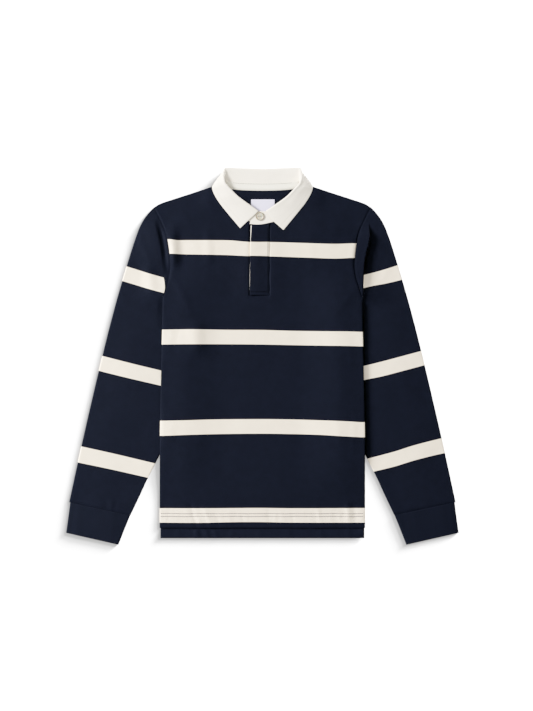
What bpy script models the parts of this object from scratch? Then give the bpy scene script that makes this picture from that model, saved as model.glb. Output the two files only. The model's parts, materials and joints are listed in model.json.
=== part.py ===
"""Striped rugby shirt laid flat on a table, front up, modelled piece by piece as it is cut and sewn."""

from bisect import bisect_right
from collections import namedtuple
import math

import bmesh
import bpy
from mathutils import Vector

MM = 0.001

# Walls and clearances, in millimetres
JERSEY = 1.2             # heavy cotton jersey of the body and sleeves
CUFF_CLOTH = 1.6         # the cuff is two layers thick
TWILL = 1.2              # collar fall and stand
TAPE = 0.8               # neck tape
FACING = 1.0             # folded edge of the placket facing
LABEL = 0.4              # woven label
SEAM_GAP = 0.4           # between two sewn edges
LAY_GAP = 0.3            # between a piece and what it lies on
LABEL_LIFT = 0.3         # more, because the back's facets rise between its points
TAPE_LIFT = 0.15         # the same for the tape on the stand
FOLD_ROOM = 0.3          # air kept inside a flattened tube at its folds

# The lay: x is across the shirt, y is up it, the origin is under the middle
SHOULDER_TIP = 225.3     # half width and height at the top of the armhole
SHOULDER_TIP_Y = 309.5
ARMPIT_Y = 123.3
FRONT_HEM_Y = -356.9
BACK_HEM_Y = -377.3
BACK_INSET = 1.7         # the tail is a little narrower than the front
YOKE_Y = 250.2           # above this line the rows fan out to the shoulder and neck

# How the layers rise off the table
PANEL_STACK = JERSEY + 2 * FOLD_ROOM     # height from the back panel to the front panel
SLEEVE_STACK = 3.3       # lift of the body over a sleeve tucked beneath it
COLLAR_STACK = 1.8       # lift of the neck over the fall folded beneath it
BODY_LOFT = 1.4
SLEEVE_LOFT = 2.4
CUFF_LOFT = 1.2
PLEAT_HEIGHT = 2.0       # the soft pleat at the underarm
PLEAT_WIDTH = 6.5

Fade = namedtuple("Fade", "start end")
Edge = namedtuple("Edge", "y half")
Top = namedtuple("Top", "half y")
Pleat = namedtuple("Pleat", "y off_seam")
Row = namedtuple("Row", "outer_y inner_y")
Line = namedtuple("Line", "outer_x outer_y inner_x inner_y")
Strip = namedtuple("Strip", "y left right")
Neck = namedtuple("Neck", "seam roll tilt roll_radius middle edge")

SIDE_EDGE = (
    Edge(-377.3, 213.6), Edge(-250.0, 213.4), Edge(-132.5, 212.3), Edge(-28.0, 210.3), Edge(44.3, 208.4),
    Edge(ARMPIT_Y, 206.8),
)
ARMHOLE = (
    Edge(ARMPIT_Y, 206.8), Edge(142.1, 201.6), Edge(158.7, 195.9), Edge(175.3, 192.4), Edge(192.0, 191.4),
    Edge(225.3, 194.3), Edge(258.5, 201.1), Edge(291.8, 215.7), Edge(SHOULDER_TIP_Y, SHOULDER_TIP),
)
SHOULDER = (
    Top(0.0, 386.0), Top(84.0, 359.4), Top(138.1, 341.7), Top(189.3, 325.1), Top(213.2, 316.8),
    Top(SHOULDER_TIP, SHOULDER_TIP_Y),
)
FRONT_NECK = (
    Top(0.0, 275.0), Top(25.0, 279.8), Top(37.5, 287.3), Top(48.5, 298.2), Top(59.8, 311.5),
    Top(68.0, 321.5), Top(75.0, 331.5), Top(81.0, 345.0), Top(84.0, 359.4),
)
BACK_NECK = (Top(0.0, 350.9), Top(48.5, 352.4), Top(68.0, 355.7), Top(84.0, 359.4))
SLEEVE_FOLD = (
    Edge(-303.1, 401.4), Edge(-219.9, 383.4), Edge(-136.7, 364.8), Edge(-36.8, 341.5), Edge(46.4, 321.2),
    Edge(112.9, 303.7), Edge(146.2, 294.1), Edge(196.1, 279.3), Edge(229.4, 268.9), Edge(246.1, 263.3),
    Edge(266.9, 255.4), Edge(283.5, 246.9), Edge(300.1, 234.4), Edge(SHOULDER_TIP_Y, SHOULDER_TIP),
)
SLEEVE_SEAM = (
    Edge(-329.1, 273.2), Edge(-286.4, 252.9), Edge(-253.1, 237.6), Edge(-203.2, 212.4), Edge(-174.1, 198.0),
    Edge(-132.5, 185.1), Edge(-90.9, 177.8), Edge(-49.3, 174.7), Edge(-7.7, 175.8), Edge(33.9, 182.0),
    Edge(67.2, 191.4), Edge(92.1, 201.8), Edge(110.9, 210.8), Edge(117.5, 209.6), Edge(ARMPIT_Y, 207.2),
)
SLEEVE_ROWS = (
    Row(307.5, 306.0), Row(304.5, 300.6), Row(295.0, 285.8), Row(282.0, 268.0), Row(267.0, YOKE_Y),
    Row(252.0, 233.6), Row(233.0, 212.8), Row(214.0, 192.0), Row(192.0, 169.0), Row(172.0, 148.3),
    Row(158.0, 133.7), Row(148.0, ARMPIT_Y), Row(136.0, 111.0), Row(120.0, 95.0), Row(100.0, 75.0),
    Row(75.0, 50.0), Row(41.0, 15.0), Row(2.0, -25.0), Row(-42.0, -70.0), Row(-85.0, -115.0),
    Row(-128.0, -160.0), Row(-170.0, -203.0), Row(-213.0, -245.0), Row(-257.0, -286.0), Row(-302.0, -328.8),
)
SLEEVE_SHARES = (0.0, 0.05, 0.16, 0.32, 0.5, 0.66, 0.76, 0.84, 0.91, 0.96, 1.0)
CUFF_SHARES = (0.0, 0.06, 0.2, 0.4, 0.6, 0.8, 0.94, 1.0)
CUFF_LINES = (
    Line(399.6, -303.4, 274.6, -330.2), Line(403.4, -333.0, 286.3, -359.0),
    Line(408.1, -366.9, 299.1, -391.7),
)
UNDERARM_PLEAT = (
    Pleat(123.0, 3.0), Pleat(160.0, 11.5), Pleat(190.0, 18.5), Pleat(236.0, 21.0), Pleat(262.0, 24.0),
)

# Where each lift, loft and pleat fades in or out
TUCK_ACROSS = Fade(120.0, 168.0)         # half widths where the body climbs onto a tucked sleeve
TUCK_ABOVE = Fade(ARMPIT_Y, 196.0)
TUCK_BELOW = Fade(-300.0, -208.0)
COLLAR_LIFT_UP = Fade(296.0, 329.0)
COLLAR_LIFT_ACROSS = Fade(108.0, 137.0)
LOFT_FROM_SIDE = Fade(0.0, 60.0)
LOFT_FROM_HEM = Fade(0.0, 80.0)
LOFT_FROM_SHOULDER = Fade(0.0, 50.0)
INSET_ABOVE = Fade(60.0, ARMPIT_Y)       # the back's inset ends at the armpit
FACING_UNDER = Fade(-15.0, 0.0)          # the placket comes down off its facing
SLEEVE_LIFT_START = Fade(112.0, 122.0)
SLEEVE_LIFT_ACROSS = Fade(0.0, 30.0)
SLEEVE_FROM_FOLD = Fade(0.0, 35.0)
SLEEVE_FROM_SEAM = Fade(14.0, 50.0)
SLEEVE_TO_CUFF = Fade(240.0, 300.0)      # distances below the origin
SLEEVE_CUFF_LOSS = 0.4                   # share of the loft lost at the cuff
PLEAT_START = Fade(118.0, 150.0)
PLEAT_END = Fade(240.0, 275.0)
CUFF_FROM_FOLD = Fade(0.0, 25.0)

# Columns of the body, from the middle out, and its rows, from the hem to the yoke
HALF_COLUMNS = (
    25.0, 37.5, 48.5, 59.8, 68.0, 75.0, 81.0, 84.0, 98.0, 113.0, 138.0, 164.0, 189.0, 211.0, SHOULDER_TIP,
)
SLIT_LEFT = -25.0
SLIT_MIDDLE = -8.0
SLIT_RIGHT = 9.6
SLIT_FOOT_Y = 133.7
BODY_ROWS = (
    FRONT_HEM_Y, -335.0, -300.0, -255.0, -208.0, -150.0, -90.0, -30.0, 30.0, 80.0, ARMPIT_Y, SLIT_FOOT_Y,
    148.3, 169.0, 192.0, 212.8, 233.6, YOKE_Y,
)
YOKE_STEPS = (0.3, 0.6, 0.85, 1.0)

# The placket: its strip, the facing that peeks out beside it, and the height of each over the front
PLACKET = (
    Strip(126.3, -26.4, 14.4), Strip(180.0, -25.9, 14.4), Strip(231.5, -25.0, 14.4),
    Strip(272.3, -22.3, 14.4),
)
PLACKET_TOP_RISE = 3.4   # its upper edge follows the collar stand
FACING_EDGE = (Strip(140.0, -27.0, -17.0), Strip(210.0, -26.2, -17.0), Strip(272.6, -25.5, -17.0))
LABEL_EDGE = (Strip(291.8, -23.3, 25.2), Strip(308.0, -23.3, 25.2), Strip(325.9, -23.3, 25.2))
FACING_SHARES = (0.0, 0.5, 1.0)          # columns across each strip
PLACKET_SHARES = (0.0, 0.25, 0.4, 0.6, 0.8, 1.0)
LABEL_SHARES = (0.0, 0.33, 0.67, 1.0)

# Half of the collar, front to back: seam, roll line, middle of the fall and its edge, each as x, y, z;
# tilt leans the roll from over the stand (negative) to under it (positive)
COLLAR_HALF = (
    Neck((38.0, 285.5, 5.7), (30.5, 316.2, 15.0), -50, 2.0, (50.0, 307.0, 11.6), (73.8, 299.0, 5.8)),
    Neck((61.0, 309.0, 6.3), (51.5, 331.0, 18.0), -38, 2.0, (67.5, 325.5, 14.0), (89.5, 319.0, 6.9)),
    Neck((76.0, 329.0, 7.1), (68.6, 348.0, 20.5), -25, 2.0, (82.0, 343.0, 15.0), (100.5, 337.5, 6.5)),
    Neck((82.0, 344.0, 6.5), (77.1, 357.0, 21.5), -12, 2.0, (89.5, 353.5, 15.0), (104.4, 350.6, 6.2)),
    Neck((84.6, 351.5, 6.2), (79.8, 363.0, 21.0), 0, 2.0, (93.0, 360.0, 12.5), (101.5, 357.5, 3.6)),
    Neck((85.0, 357.0, 6.2), (81.4, 370.2, 18.5), 15, 2.0, (94.0, 367.0, 8.5), (97.0, 364.0, 1.6)),
    Neck((81.5, 355.5, 6.2), (81.6, 380.8, 13.0), 40, 2.2, (88.0, 375.5, 4.5), (88.0, 366.5, 0.9)),
    Neck((74.0, 352.5, 4.6), (77.6, 390.3, 6.5), 70, 2.3, (79.5, 382.0, 1.1), (76.0, 368.0, 0.8)),
    Neck((46.6, 349.5, 4.2), (46.6, 390.6, 3.4), 90, 2.5, (46.6, 372.0, 0.8), (46.6, 338.0, 0.7)),
)
COLLAR_BACK = Neck((0.0, 348.2, 4.2), (0.0, 388.9, 3.3), 90, 2.5, (0.0, 370.0, 0.7), (0.0, 334.0, 0.7))
FALL_END_LEFT = Neck(
    (-9.0, 276.3, 5.6), (-8.7, 301.6, 11.2), -60, 2.0, (-27.9, 283.2, 9.6), (-46.2, 266.2, 5.7),
)
FALL_END_RIGHT = Neck(
    (9.0, 276.3, 5.6), (7.9, 301.6, 11.2), -60, 2.0, (21.0, 281.8, 9.6), (43.7, 262.3, 5.7),
)
STAND_OVERLAP = (
    Neck((-22.9, 274.1, 5.6), (-17.5, 298.0, 8.2), -60, 0.0, (0.0, 0.0, 0.0), (0.0, 0.0, 0.0)),
    Neck((-8.0, 273.9, 5.6), (-4.5, 300.9, 8.4), -60, 0.0, (0.0, 0.0, 0.0), (0.0, 0.0, 0.0)),
)
ROLL_ANGLES = (20, 55, 90, 135, 180)     # points round the roll, in degrees from the stand
ROLL_GAP = 0.8           # between the stand and the start of the roll
STAND_SHARES = (0.0, 0.33, 0.67, 1.0)
COLLAR_STEPS = 2         # each row of the collar's tables gives this many
TAPE_REACH = 2           # the tape runs this many of the tables' rows to each side of the middle of the back
TAPE_OVERHANG = 4.0      # below the neck seam
TAPE_HEIGHTS = (-0.4, 5.75, 11.5)        # up the stand from the seam

BUTTON_CENTRE = (-5.2, 290.6)
BUTTON_RADIUS = 8.7
BUTTON_HEIGHT = 2.8
BUTTON_DISH = 1.0
BUTTON_RIM = 1.7
BUTTON_RIM_SLOPE = 0.8
BUTTON_ROUND = 0.7       # of its outer edges
BUTTON_HOLE = 1.0
BUTTON_HOLE_OFFSET = 2.1
BUTTON_SIDES = 24
BUTTON_LIFT = 0.1        # keeps its lower edge clear of the curved stand
HOLE_SIDES = 12
HOLE_DEPTH = 10.0


def ramp(value, start, end):
    """Ease from 0 at start to 1 at end."""
    part = min(max((value - start) / (end - start), 0.0), 1.0)
    return part * part * (3.0 - 2.0 * part)


def mix(a, b, part):
    """Straight blend of two numbers."""
    return a + (b - a) * part


def follow(table, key, column, value):
    """One column of a table, read along a smooth curve through its rows."""
    places = [getattr(row, key) for row in table]
    sizes = [getattr(row, column) for row in table]
    last = len(table) - 1
    value = min(max(value, places[0]), places[last])
    low = min(bisect_right(places, value) - 1, last - 1)
    span = places[low + 1] - places[low]
    part = (value - places[low]) / span

    def slope(row):
        before = max(row - 1, 0)
        after = min(row + 1, last)
        return (sizes[after] - sizes[before]) / (places[after] - places[before])

    square = part * part
    cube = square * part
    return (
        (2 * cube - 3 * square + 1) * sizes[low]
        + (cube - 2 * square + part) * span * slope(low)
        + (3 * square - 2 * cube) * sizes[low + 1]
        + (cube - square) * span * slope(low + 1)
    )


# The lay of the body

def half_width(y):
    """Half width of the body: the side edge, then the armhole."""
    if y <= ARMPIT_Y:
        return follow(SIDE_EDGE, "y", "half", y)
    return follow(ARMHOLE, "y", "half", y)


def over_sleeve(x, y):
    """Lift of the body where a sleeve is tucked beneath its side."""
    above = 1.0 - ramp(y, *TUCK_ABOVE)
    return SLEEVE_STACK * ramp(abs(x), *TUCK_ACROSS) * above * ramp(y, *TUCK_BELOW)


def over_collar(x, y):
    """Lift of the neck where the fall is folded beneath it."""
    return COLLAR_STACK * ramp(y, *COLLAR_LIFT_UP) * (1.0 - ramp(abs(x), *COLLAR_LIFT_ACROSS))


def back_height(x, y):
    """Height of the middle of the back panel's wall."""
    return JERSEY / 2 + over_sleeve(x, y) + over_collar(x, y)


def front_height(x, y):
    """Height of the middle of the front panel's wall."""
    from_side = ramp(half_width(y) - abs(x), *LOFT_FROM_SIDE)
    from_hem = ramp(y - FRONT_HEM_Y, *LOFT_FROM_HEM)
    from_shoulder = ramp(follow(SHOULDER, "half", "y", abs(x)) - y, *LOFT_FROM_SHOULDER)
    return back_height(x, y) + PANEL_STACK + BODY_LOFT * from_side * from_hem * from_shoulder


def column_x(column, y, inset=0.0):
    """Place of a body column at a height: the outer ones follow the side and armhole."""
    share = column / SHOULDER_TIP
    return column + (half_width(y) - inset - SHOULDER_TIP) * share * abs(share)


def neck_top(neck, column):
    """Upper end of a body column, on the neck or the shoulder."""
    table = neck if abs(column) < SHOULDER[1].half else SHOULDER[1:]
    return follow(table, "half", "y", abs(column))


def body_columns():
    """Every column of a body panel, left to right."""
    left = [-column for column in reversed(HALF_COLUMNS)]
    return left + [SLIT_MIDDLE, SLIT_RIGHT] + list(HALF_COLUMNS)


def body_grid(columns, rows, neck, height, inset=0.0):
    """Rows of points over a body panel, from its hem to its neck and shoulders."""
    grid = []
    for y in rows:
        side = inset * (1.0 - ramp(y, *INSET_ABOVE))
        grid.append([(column_x(column, y, side), y) for column in columns])
    for step in YOKE_STEPS:
        row = []
        for column in columns:
            y = mix(YOKE_Y, neck_top(neck, column), step)
            row.append((column_x(column, y), y))
        grid.append(row)
    return [[(x, y, height(x, y)) for x, y in row] for row in grid]


# Making the pieces

def clear_scene():
    """Start from an empty file."""
    for item in list(bpy.data.objects):
        bpy.data.objects.remove(item, do_unlink=True)


def collection(name):
    """New collection in the scene."""
    group = bpy.data.collections.new(name)
    bpy.context.scene.collection.children.link(group)
    return group


def material(name, colour, roughness):
    """Plain surface for one kind of cloth or moulding."""
    surface = bpy.data.materials.new(name)
    surface.use_nodes = True
    shader = surface.node_tree.nodes["Principled BSDF"]
    shader.inputs["Base Color"].default_value = (*colour, 1.0)
    shader.inputs["Roughness"].default_value = roughness
    surface.diffuse_color = (*colour, 1.0)
    return surface


def cloth(group, name, grid, wall, surface, loop=False, skip=None):
    """Sheet through rows of points, with its wall from Solidify."""
    sheet = bmesh.new()
    points = [[sheet.verts.new([size * MM for size in point]) for point in row] for row in grid]
    width = len(grid[0])
    for i in range(len(grid) - 1):
        for j in range(width if loop else width - 1):
            if skip and skip(i, j):
                continue
            k = (j + 1) % width
            sheet.faces.new((points[i][j], points[i][k], points[i + 1][k], points[i + 1][j]))
    loose = [point for point in sheet.verts if not point.link_faces]
    bmesh.ops.delete(sheet, geom=loose, context="VERTS")
    bmesh.ops.recalc_face_normals(sheet, faces=sheet.faces)
    mesh = bpy.data.meshes.new(name)
    sheet.to_mesh(mesh)
    sheet.free()
    mesh.shade_smooth()
    mesh.materials.append(surface)
    piece = bpy.data.objects.new(name, mesh)
    group.objects.link(piece)
    solid = piece.modifiers.new("Wall", "SOLIDIFY")
    solid.thickness = wall * MM
    solid.offset = 0.0
    solid.use_even_offset = True
    solid.use_quality_normals = True
    return piece


def make_body(group, jersey):
    """Front with its slit, back with its longer tail, and the band under the placket."""
    columns = body_columns()
    slit_columns = range(columns.index(SLIT_LEFT), columns.index(SLIT_RIGHT))
    slit_row = BODY_ROWS.index(SLIT_FOOT_Y)

    def in_slit(i, j):
        return i >= slit_row and j in slit_columns

    front = body_grid(columns, BODY_ROWS, FRONT_NECK, front_height)
    cloth(group, "front_panel", front, JERSEY, jersey, skip=in_slit)

    back_rows = (BACK_HEM_Y,) + BODY_ROWS
    back = body_grid(columns, back_rows, BACK_NECK, back_height, BACK_INSET)
    cloth(group, "back_panel", back, JERSEY, jersey)

    band_columns = (SLIT_LEFT + SEAM_GAP, SLIT_MIDDLE, SLIT_RIGHT - SEAM_GAP)
    band_rows = (SLIT_FOOT_Y + SEAM_GAP,) + BODY_ROWS[slit_row + 1:]
    band = body_grid(band_columns, band_rows, FRONT_NECK, front_height)
    cloth(group, "under_placket", band, JERSEY, jersey)


def strip_grid(table, columns, height, top_rise=0.0):
    """Rows of points over a strip that lies on a panel; columns are shares of its width."""
    grid = []
    for row in table:
        points = []
        for share in columns:
            x = mix(row.left, row.right, share)
            y = row.y + (top_rise * share * share if row is table[-1] else 0.0)
            points.append((x, y, height(x, y)))
        grid.append(points)
    return grid


def facing_height(x, y):
    """The facing lies on the front panel."""
    return front_height(x, y) + JERSEY / 2 + LAY_GAP + FACING / 2


def placket_height(x, y):
    """The placket lies on its facing at the left and on the front at the right."""
    on_front = front_height(x, y) + JERSEY + LAY_GAP
    return on_front + (FACING + LAY_GAP) * (1.0 - ramp(x, *FACING_UNDER))


def label_height(x, y):
    """The label lies on the inside of the back."""
    return back_height(x, y) + JERSEY / 2 + LAY_GAP + LABEL_LIFT + LABEL / 2


def make_placket(group, jersey, twill, woven):
    """Striped outer placket, the facing edge beside it, and the bare neck label."""
    inner = strip_grid(FACING_EDGE, FACING_SHARES, facing_height)
    cloth(group, "placket_facing", inner, FACING, twill)
    outer = strip_grid(PLACKET, PLACKET_SHARES, placket_height, PLACKET_TOP_RISE)
    cloth(group, "placket", outer, JERSEY, jersey)
    label = strip_grid(LABEL_EDGE, LABEL_SHARES, label_height)
    cloth(group, "neck_label", label, LABEL, woven)


# Sleeves and cuffs are flattened tubes

def sleeve_rise(x, y):
    """Lift of both layers of a sleeve at the armhole, where it joins the raised body."""
    seam = SLEEVE_STACK * (1.0 - ramp(y, *TUCK_ABOVE)) * ramp(y, *SLEEVE_LIFT_START)
    return seam * (1.0 - ramp(x - half_width(y), *SLEEVE_LIFT_ACROSS))


def sleeve_loft(x, y, from_fold, length):
    """Air between the layers of a sleeve, and the soft pleat at the underarm."""
    off_seam = x - half_width(y)
    loft = SLEEVE_LOFT * ramp(from_fold, *SLEEVE_FROM_FOLD) * ramp(off_seam, *SLEEVE_FROM_SEAM)
    loft *= 1.0 - SLEEVE_CUFF_LOSS * ramp(-y, *SLEEVE_TO_CUFF)
    distance = (off_seam - follow(UNDERARM_PLEAT, "y", "off_seam", y)) / PLEAT_WIDTH
    pleat = PLEAT_HEIGHT * math.exp(-distance * distance)
    return loft + pleat * ramp(y, *PLEAT_START) * (1.0 - ramp(y, *PLEAT_END))


def no_rise(x, y):
    """A cuff lies flat on the table."""
    return 0.0


def cuff_loft(x, y, from_fold, length):
    """Air between the layers of a cuff."""
    return CUFF_LOFT * ramp(from_fold, *CUFF_FROM_FOLD) * ramp(length - from_fold, *CUFF_FROM_FOLD)


def tube_ring(outer_end, inner_end, shares, wall, rise, loft, inner_fold=True):
    """One row of a flattened tube: front layer, inner fold, back layer, outer fold."""
    fold = wall / 2 + FOLD_ROOM
    outer, inner = Vector(outer_end), Vector(inner_end)
    along = (inner - outer).normalized()
    length = (inner - outer).length
    outer += along * (wall / 2)
    inner -= along * (wall / 2 if inner_fold else 0.0)
    flat_start = outer + along * fold
    flat_end = inner - along * fold if inner_fold else inner
    front = []
    back = []
    for share in shares:
        point = flat_start.lerp(flat_end, share)
        base = wall / 2 + rise(point.x, point.y)
        from_fold = (point - outer).length
        front.append((point.x, point.y, base + 2 * fold + loft(point.x, point.y, from_fold, length)))
        back.append((point.x, point.y, base))
    middle = wall / 2 + fold
    inner_side = (inner.x, inner.y, middle + rise(inner.x, inner.y))
    outer_side = (outer.x, outer.y, middle + rise(outer.x, outer.y))
    return front + [inner_side] + back[::-1] + [outer_side]


def sleeve_grid():
    """Rows of the sleeve on the +X side: the upper ones end at the armhole, the rest at its own seam."""
    grid = []
    for row in SLEEVE_ROWS:
        at_armhole = row.inner_y > ARMPIT_Y
        seam = ARMHOLE if at_armhole else SLEEVE_SEAM
        outer = (follow(SLEEVE_FOLD, "y", "half", row.outer_y) + SEAM_GAP, row.outer_y)
        inner = (follow(seam, "y", "half", row.inner_y) + SEAM_GAP, row.inner_y)
        own_fold = not at_armhole
        grid.append(tube_ring(outer, inner, SLEEVE_SHARES, JERSEY, sleeve_rise, sleeve_loft, own_fold))
    return grid


def armhole_opening(i, j):
    """Faces left out of the sleeve, where it opens into the body."""
    armpit_row = [row.inner_y for row in SLEEVE_ROWS].index(ARMPIT_Y)
    inner_fold = len(SLEEVE_SHARES)
    return i < armpit_row and j in (inner_fold - 1, inner_fold)


def cuff_grid():
    """Rows of the cuff on the +X side, from its seam to its open end."""
    grid = []
    for line in CUFF_LINES:
        outer = (line.outer_x, line.outer_y)
        inner = (line.inner_x, line.inner_y)
        grid.append(tube_ring(outer, inner, CUFF_SHARES, CUFF_CLOTH, no_rise, cuff_loft))
    return grid


def mirrored(grid):
    """The same points on the -X side."""
    return [[(-x, y, z) for x, y, z in row] for row in grid]


def make_sleeves(group, jersey):
    """Both sleeves and both cuffs."""
    sleeve = sleeve_grid()
    cuff = cuff_grid()
    sides = (("left", mirrored(sleeve), mirrored(cuff)), ("right", sleeve, cuff))
    for side, sleeve_points, cuff_points in sides:
        name = "sleeve_" + side
        cloth(group, name, sleeve_points, JERSEY, jersey, loop=True, skip=armhole_opening)
        cloth(group, "cuff_" + side, cuff_points, CUFF_CLOTH, jersey, loop=True)


# The collar

def mirror_row(row):
    """A collar row on the other side of the neck."""
    def flip(point):
        return (-point[0], point[1], point[2])
    places = {name: flip(getattr(row, name)) for name in ("seam", "roll", "middle", "edge")}
    return row._replace(**places)


def between(rows, steps):
    """Rows of the collar with smooth ones added between them."""
    places = [0.0]
    for before, after in zip(rows, rows[1:]):
        places.append(places[-1] + (Vector(after.roll) - Vector(before.roll)).length)
    Sample = namedtuple("Sample", "place size")

    def read(pick, place):
        samples = [Sample(at, pick(row)) for at, row in zip(places, rows)]
        return follow(samples, "place", "size", place)

    def read_point(name, place):
        return tuple(read(lambda row: getattr(row, name)[axis], place) for axis in range(3))

    fine = []
    for start, end in zip(places, places[1:]):
        for step in range(steps):
            place = mix(start, end, step / steps)
            fine.append(Neck(
                seam=read_point("seam", place),
                roll=read_point("roll", place),
                tilt=read(lambda row: row.tilt, place),
                roll_radius=read(lambda row: row.roll_radius, place),
                middle=read_point("middle", place),
                edge=read_point("edge", place),
            ))
    return fine + [rows[-1]]


def roll_frames(rows):
    """For each row, the centre of its roll, its lean and the direction across it."""
    frames = []
    last = len(rows) - 1
    for i, row in enumerate(rows):
        before = Vector(rows[max(i - 1, 0)].roll)
        after = Vector(rows[min(i + 1, last)].roll)
        run = after - before
        outward = Vector((-run.y, run.x, 0.0)).normalized()
        tilt = math.radians(row.tilt)
        lean = Vector((0, 0, 1)) * math.cos(tilt) + outward * math.sin(tilt)
        across = outward * math.cos(tilt) - Vector((0, 0, 1)) * math.sin(tilt)
        frames.append((Vector(row.roll) - lean * row.roll_radius, lean, across))
    return frames


def stand_top(row, frame):
    """Upper edge of the stand, where the roll of the fall begins."""
    centre, lean, across = frame
    return centre - across * row.roll_radius


def fall_grid(rows):
    """Cross-sections of the fall: round the roll, then out to its edge."""
    grid = []
    for row, (centre, lean, across) in zip(rows, roll_frames(rows)):
        section = []
        for angle in ROLL_ANGLES:
            turn = math.radians(angle)
            radius = row.roll_radius
            section.append(centre - across * math.cos(turn) * radius + lean * math.sin(turn) * radius)
        start = section[-1]
        middle = Vector(row.middle)
        edge = Vector(row.edge)
        section += [start.lerp(middle, 0.5), middle, middle.lerp(edge, 0.5), edge]
        grid.append([tuple(point) for point in section])
    return grid


def stand_grid(rows):
    """Cross-sections of the stand: neck seam up to just under the roll."""
    grid = []
    for row, frame in zip(rows, roll_frames(rows)):
        seam = Vector(row.seam)
        top = stand_top(row, frame)
        top -= (top - seam).normalized() * ROLL_GAP
        grid.append([tuple(seam.lerp(top, share)) for share in STAND_SHARES])
    return grid


def tape_grid(rows):
    """The neck tape, over the seam at the back: below the seam, then up the stand."""
    grid = []
    off = TWILL / 2 + LAY_GAP + TAPE_LIFT + TAPE / 2
    for row, frame in zip(rows, roll_frames(rows)):
        seam = Vector(row.seam)
        rise = (stand_top(row, frame) - seam).normalized()
        level = Vector((rise.x, rise.y, 0.0)).normalized()
        up = Vector((0, 0, 1)) - rise * rise.z
        up.normalize()
        low = seam - level * TAPE_OVERHANG
        low.z = back_height(low.x, low.y) + JERSEY / 2 + LAY_GAP + TAPE / 2
        steps = [seam + rise * reach + up * off for reach in TAPE_HEIGHTS]
        grid.append([tuple(low)] + [tuple(point) for point in steps])
    return grid


def make_collar(group, twill):
    """Fall, stand and neck tape, worked out from the same rows."""
    left = [mirror_row(row) for row in COLLAR_HALF]
    ring = left + [COLLAR_BACK] + list(reversed(COLLAR_HALF))
    fall = between([FALL_END_LEFT] + ring + [FALL_END_RIGHT], COLLAR_STEPS)
    cloth(group, "collar_fall", fall_grid(fall), TWILL, twill)

    overlap = list(reversed(STAND_OVERLAP))
    stand = between([FALL_END_LEFT] + ring + [FALL_END_RIGHT] + overlap, COLLAR_STEPS)[1:]
    cloth(group, "collar_stand", stand_grid(stand), TWILL, twill)

    middle = len(COLLAR_HALF)
    behind_neck = ring[middle - TAPE_REACH:middle + TAPE_REACH + 1]
    tape = between(behind_neck, COLLAR_STEPS)
    cloth(group, "neck_tape", tape_grid(tape), TAPE, twill)


def make_button(group, cutters, moulding):
    """Rimmed button with two thread holes, turned and then drilled."""
    dish = BUTTON_HEIGHT - BUTTON_DISH
    rim = BUTTON_RADIUS - BUTTON_RIM
    profile = (
        (0.0, dish), (rim - BUTTON_RIM_SLOPE, dish), (rim, BUTTON_HEIGHT),
        (BUTTON_RADIUS - BUTTON_ROUND, BUTTON_HEIGHT), (BUTTON_RADIUS, BUTTON_HEIGHT - BUTTON_ROUND),
        (BUTTON_RADIUS, BUTTON_ROUND), (BUTTON_RADIUS - BUTTON_ROUND, 0.0), (0.0, 0.0),
    )
    mesh = bpy.data.meshes.new("collar_button")
    edges = [(i, i + 1) for i in range(len(profile) - 1)]
    mesh.from_pydata([(x * MM, 0.0, z * MM) for x, z in profile], edges, [])
    mesh.materials.append(moulding)
    button = bpy.data.objects.new("collar_button", mesh)
    group.objects.link(button)
    turn = button.modifiers.new("Turn", "SCREW")
    turn.steps = BUTTON_SIDES
    turn.render_steps = BUTTON_SIDES
    turn.use_merge_vertices = True
    turn.merge_threshold = 0.00001

    x, y = BUTTON_CENTRE
    low = Vector(STAND_OVERLAP[1].seam)
    high = Vector(STAND_OVERLAP[1].roll)
    slope = math.atan2(high.z - low.z, high.y - low.y)
    stand = mix(low.z, high.z, (y - low.y) / (high.y - low.y))
    seat = stand + TWILL / 2 + LAY_GAP + BUTTON_LIFT
    button.location = (x * MM, y * MM, seat * MM)
    button.rotation_euler = (slope, 0.0, 0.0)

    for number, side in enumerate((-1, 1)):
        tool = bmesh.new()
        radius = BUTTON_HOLE * MM
        bmesh.ops.create_cone(
            tool, cap_ends=True, segments=HOLE_SIDES, radius1=radius, radius2=radius, depth=HOLE_DEPTH * MM,
        )
        shape = bpy.data.meshes.new("hole_cutter_%d" % number)
        tool.to_mesh(shape)
        tool.free()
        cutter = bpy.data.objects.new(shape.name, shape)
        cutters.objects.link(cutter)
        cutter.parent = button
        cutter.location = (side * BUTTON_HOLE_OFFSET * MM, 0.0, 0.0)
        cutter.hide_render = True
        cutter.display_type = "WIRE"
        drill = button.modifiers.new("Thread hole", "BOOLEAN")
        drill.operation = "DIFFERENCE"
        drill.solver = "EXACT"
        drill.object = cutter
    return button


def main():
    """Build the whole shirt."""
    clear_scene()
    shirt = collection("rugby_shirt")
    cutters = collection("cutters")
    jersey = material("navy_jersey", (0.010, 0.013, 0.025), 0.9)
    twill = material("ecru_twill", (0.85, 0.82, 0.75), 0.85)
    woven = material("label_weave", (0.78, 0.77, 0.88), 0.7)
    moulding = material("cream_moulding", (0.78, 0.73, 0.62), 0.4)
    make_body(shirt, jersey)
    make_placket(shirt, jersey, twill, woven)
    make_sleeves(shirt, jersey)
    make_collar(shirt, twill)
    make_button(shirt, cutters, moulding)


main()
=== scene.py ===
# %% [markdown]
# # A striped rugby shirt, laid flat
# This lesson dresses a packed shirt in Blender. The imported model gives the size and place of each
# piece of cloth, as plain thin solids. Here each piece is made again with a finer surface, soft
# creases, seams, sewing and a knitted or woven finish, and it lies exactly where its solid lies.

from bisect import bisect_right
from collections import namedtuple
import json
import math

import bmesh
import bpy
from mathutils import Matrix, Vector, noise

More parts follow.
